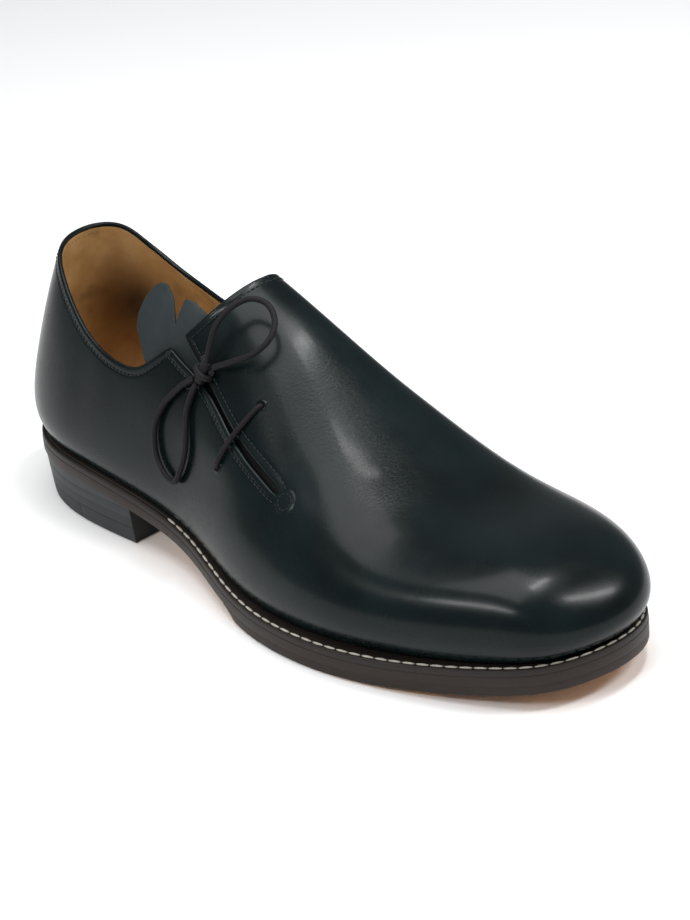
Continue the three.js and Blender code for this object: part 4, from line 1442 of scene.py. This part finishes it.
def makeHalfSole():
    def profile(x):
        top = soleUnder(x) - 0.02
        bevel = min(max((x - sole["stepAt"]) / sole["stepBevel"], 0.12), 1)
        low = soleUnder(x) - sole["gap"] - sole["halfSole"] * bevel
        return roundedProfile(low, top, min(layers["halfSoleRound"], 0.45 * (top - low)), over=0.02)

    points, faces = layerMesh(sole["stepAt"], soleLength, 110, profile)
    piece = makePiece("halfSole", points, faces, "edge", ["half_sole"], crease=30)
    twoFaced(piece, materials["sole"])


def hollowBreast(points):
    # bends the heel's straight front back into the arc of its breast: with r the arc's radius,
    # front = length - depth + r - sqrt(r^2 - y^2)
    half = layers["breastHalf"] * ballWidth
    radius = (half ** 2 + layers["breastDepth"] ** 2) / (2 * layers["breastDepth"])
    y = np.clip(points[:, 1], -0.9 * radius, 0.9 * radius)
    front = sole["heelLength"] - layers["breastDepth"] + radius - np.sqrt(radius ** 2 - y ** 2)
    pull = smoothStep((points[:, 0] - layers["breastFrom"]) / (sole["heelLength"] - layers["breastFrom"]))
    moved = points.copy()
    moved[:, 0] -= np.maximum(sole["heelLength"] - front, 0) * pull
    return moved


def heelInset(z):
    return layers["edgeInset"] + layers["heelTaper"] * (1 - z / (sole["heelHeight"] - sole["gap"]))


def makeHeel():
    # lifts with a fine groove between them, over a top piece that is rubber behind, leather in front
    top = sole["heelHeight"] - sole["gap"]
    low = layers["topPiece"] + sole["gap"] / 2
    half, deep = layers["liftGroove"]

    def stack(x):
        rows = [(heelInset(low), low)]
        for line in layers["liftLines"]:
            for z, dent in ((line - half, 0.0), (line, deep), (line + half, 0.0)):
                rows.append((heelInset(z) + dent, z))
        rows.append((heelInset(top), float(soleUnder(x)) - sole["gap"] / 2))
        return rows

    def piece(x):
        return roundedProfile(0.0, layers["topPiece"], layers["topPieceRound"],
                              heelInset(layers["topPiece"]), heelInset(0))

    joint = layers["rubberShare"] * sole["heelLength"]
    points, faces = layerMesh(0, sole["heelLength"], 70, stack)
    makePiece("heelLifts", hollowBreast(points), faces, "heel",
              ["heel_stack"], crease=25)
    points, faces = layerMesh(0, joint - 0.1, 50, piece)
    makePiece("heelRubber", points, faces, "rubber", ["heel_top_rubber"])
    points, faces = layerMesh(joint + 0.1, sole["heelLength"], 40, piece)
    makePiece("heelFront", hollowBreast(points), faces, "heel",
              ["heel_top_leather"])


welt = {"holePast": 4.9, "sides": 420, "seamInset": 1.5}


def makeWelt():
    # a band swept once round the sole: level top, rounded lip, and a groove for the stitches
    inset, sides = layers["weltInset"], welt["sides"]
    hole = lastForm["ledge"] + welt["holePast"]
    rows = [(hole, -0.12), (inset, -0.12), (inset, 1.9), (inset + 0.2, 2.35), (inset + 0.6, 2.6),
            (inset + 0.9, 2.6), (inset + 1.2, 2.32), (inset + 1.8, 2.32), (inset + 2.15, 2.6), (hole, 2.6)]
    profile = np.array(rows)
    x, y = edgePoint(turns(sides)[:, None], profile[None, :, 0])
    points = np.stack([x, y, weltUnder(x) + profile[None, :, 1]], -1)
    index = np.arange(sides * len(rows)).reshape(sides, len(rows))
    ahead, over = np.roll(index, -1, axis=0), np.roll(index, -1, axis=1)
    faces = np.stack([index, ahead, np.roll(ahead, -1, axis=1), over], -1).reshape(-1, 4)
    makePiece("weltBand", points.reshape(-1, 3), faces, "welt", ["welt"],
              crease=35)
    return inset + welt["seamInset"]


weltSeam = {"stitches": (5.4, 4.9, 1.0, 0.9, 0.2), "from": 108.0, "sunk": 0.22}


def makeWeltStitches(inset):
    start = angleAt(weltSeam["from"])
    angles = np.linspace(start, 2 * np.pi - start, 1400)
    x, y = edgePoint(angles, inset)
    line = np.stack([x, y, weltUnder(x) + sole["welt"] - weltSeam["sunk"]], -1)
    normals = np.tile((0.0, 0.0, 1.0), (len(line), 1))
    points, faces = rowOfStitches(line, normals, *weltSeam["stitches"])
    makePiece("weltStitches", points, faces, "paleThread")


def makeInsole():
    # the sock lies on the insole and its upper edge is bevelled
    inside, bevel, lift = 2.1, 0.6, 0.1

    def profile(x):
        inset = lastForm["ledge"] * float(ledgeShare(angleAt(x))) + inside
        foot = float(upperFoot(x))
        top = foot + sole["insole"]
        return [(inset, foot + lift), (inset, top - bevel), (inset + bevel, top)]

    points, faces = layerMesh(0, soleLength, 90, profile)
    makePiece("insoleSock", points, faces, "sock", ["insole"], crease=50)


makeOutsole()
makeHalfSole()
makeHeel()
makeWeltStitches(makeWelt())
makeInsole()
print("sole, heel and welt made")
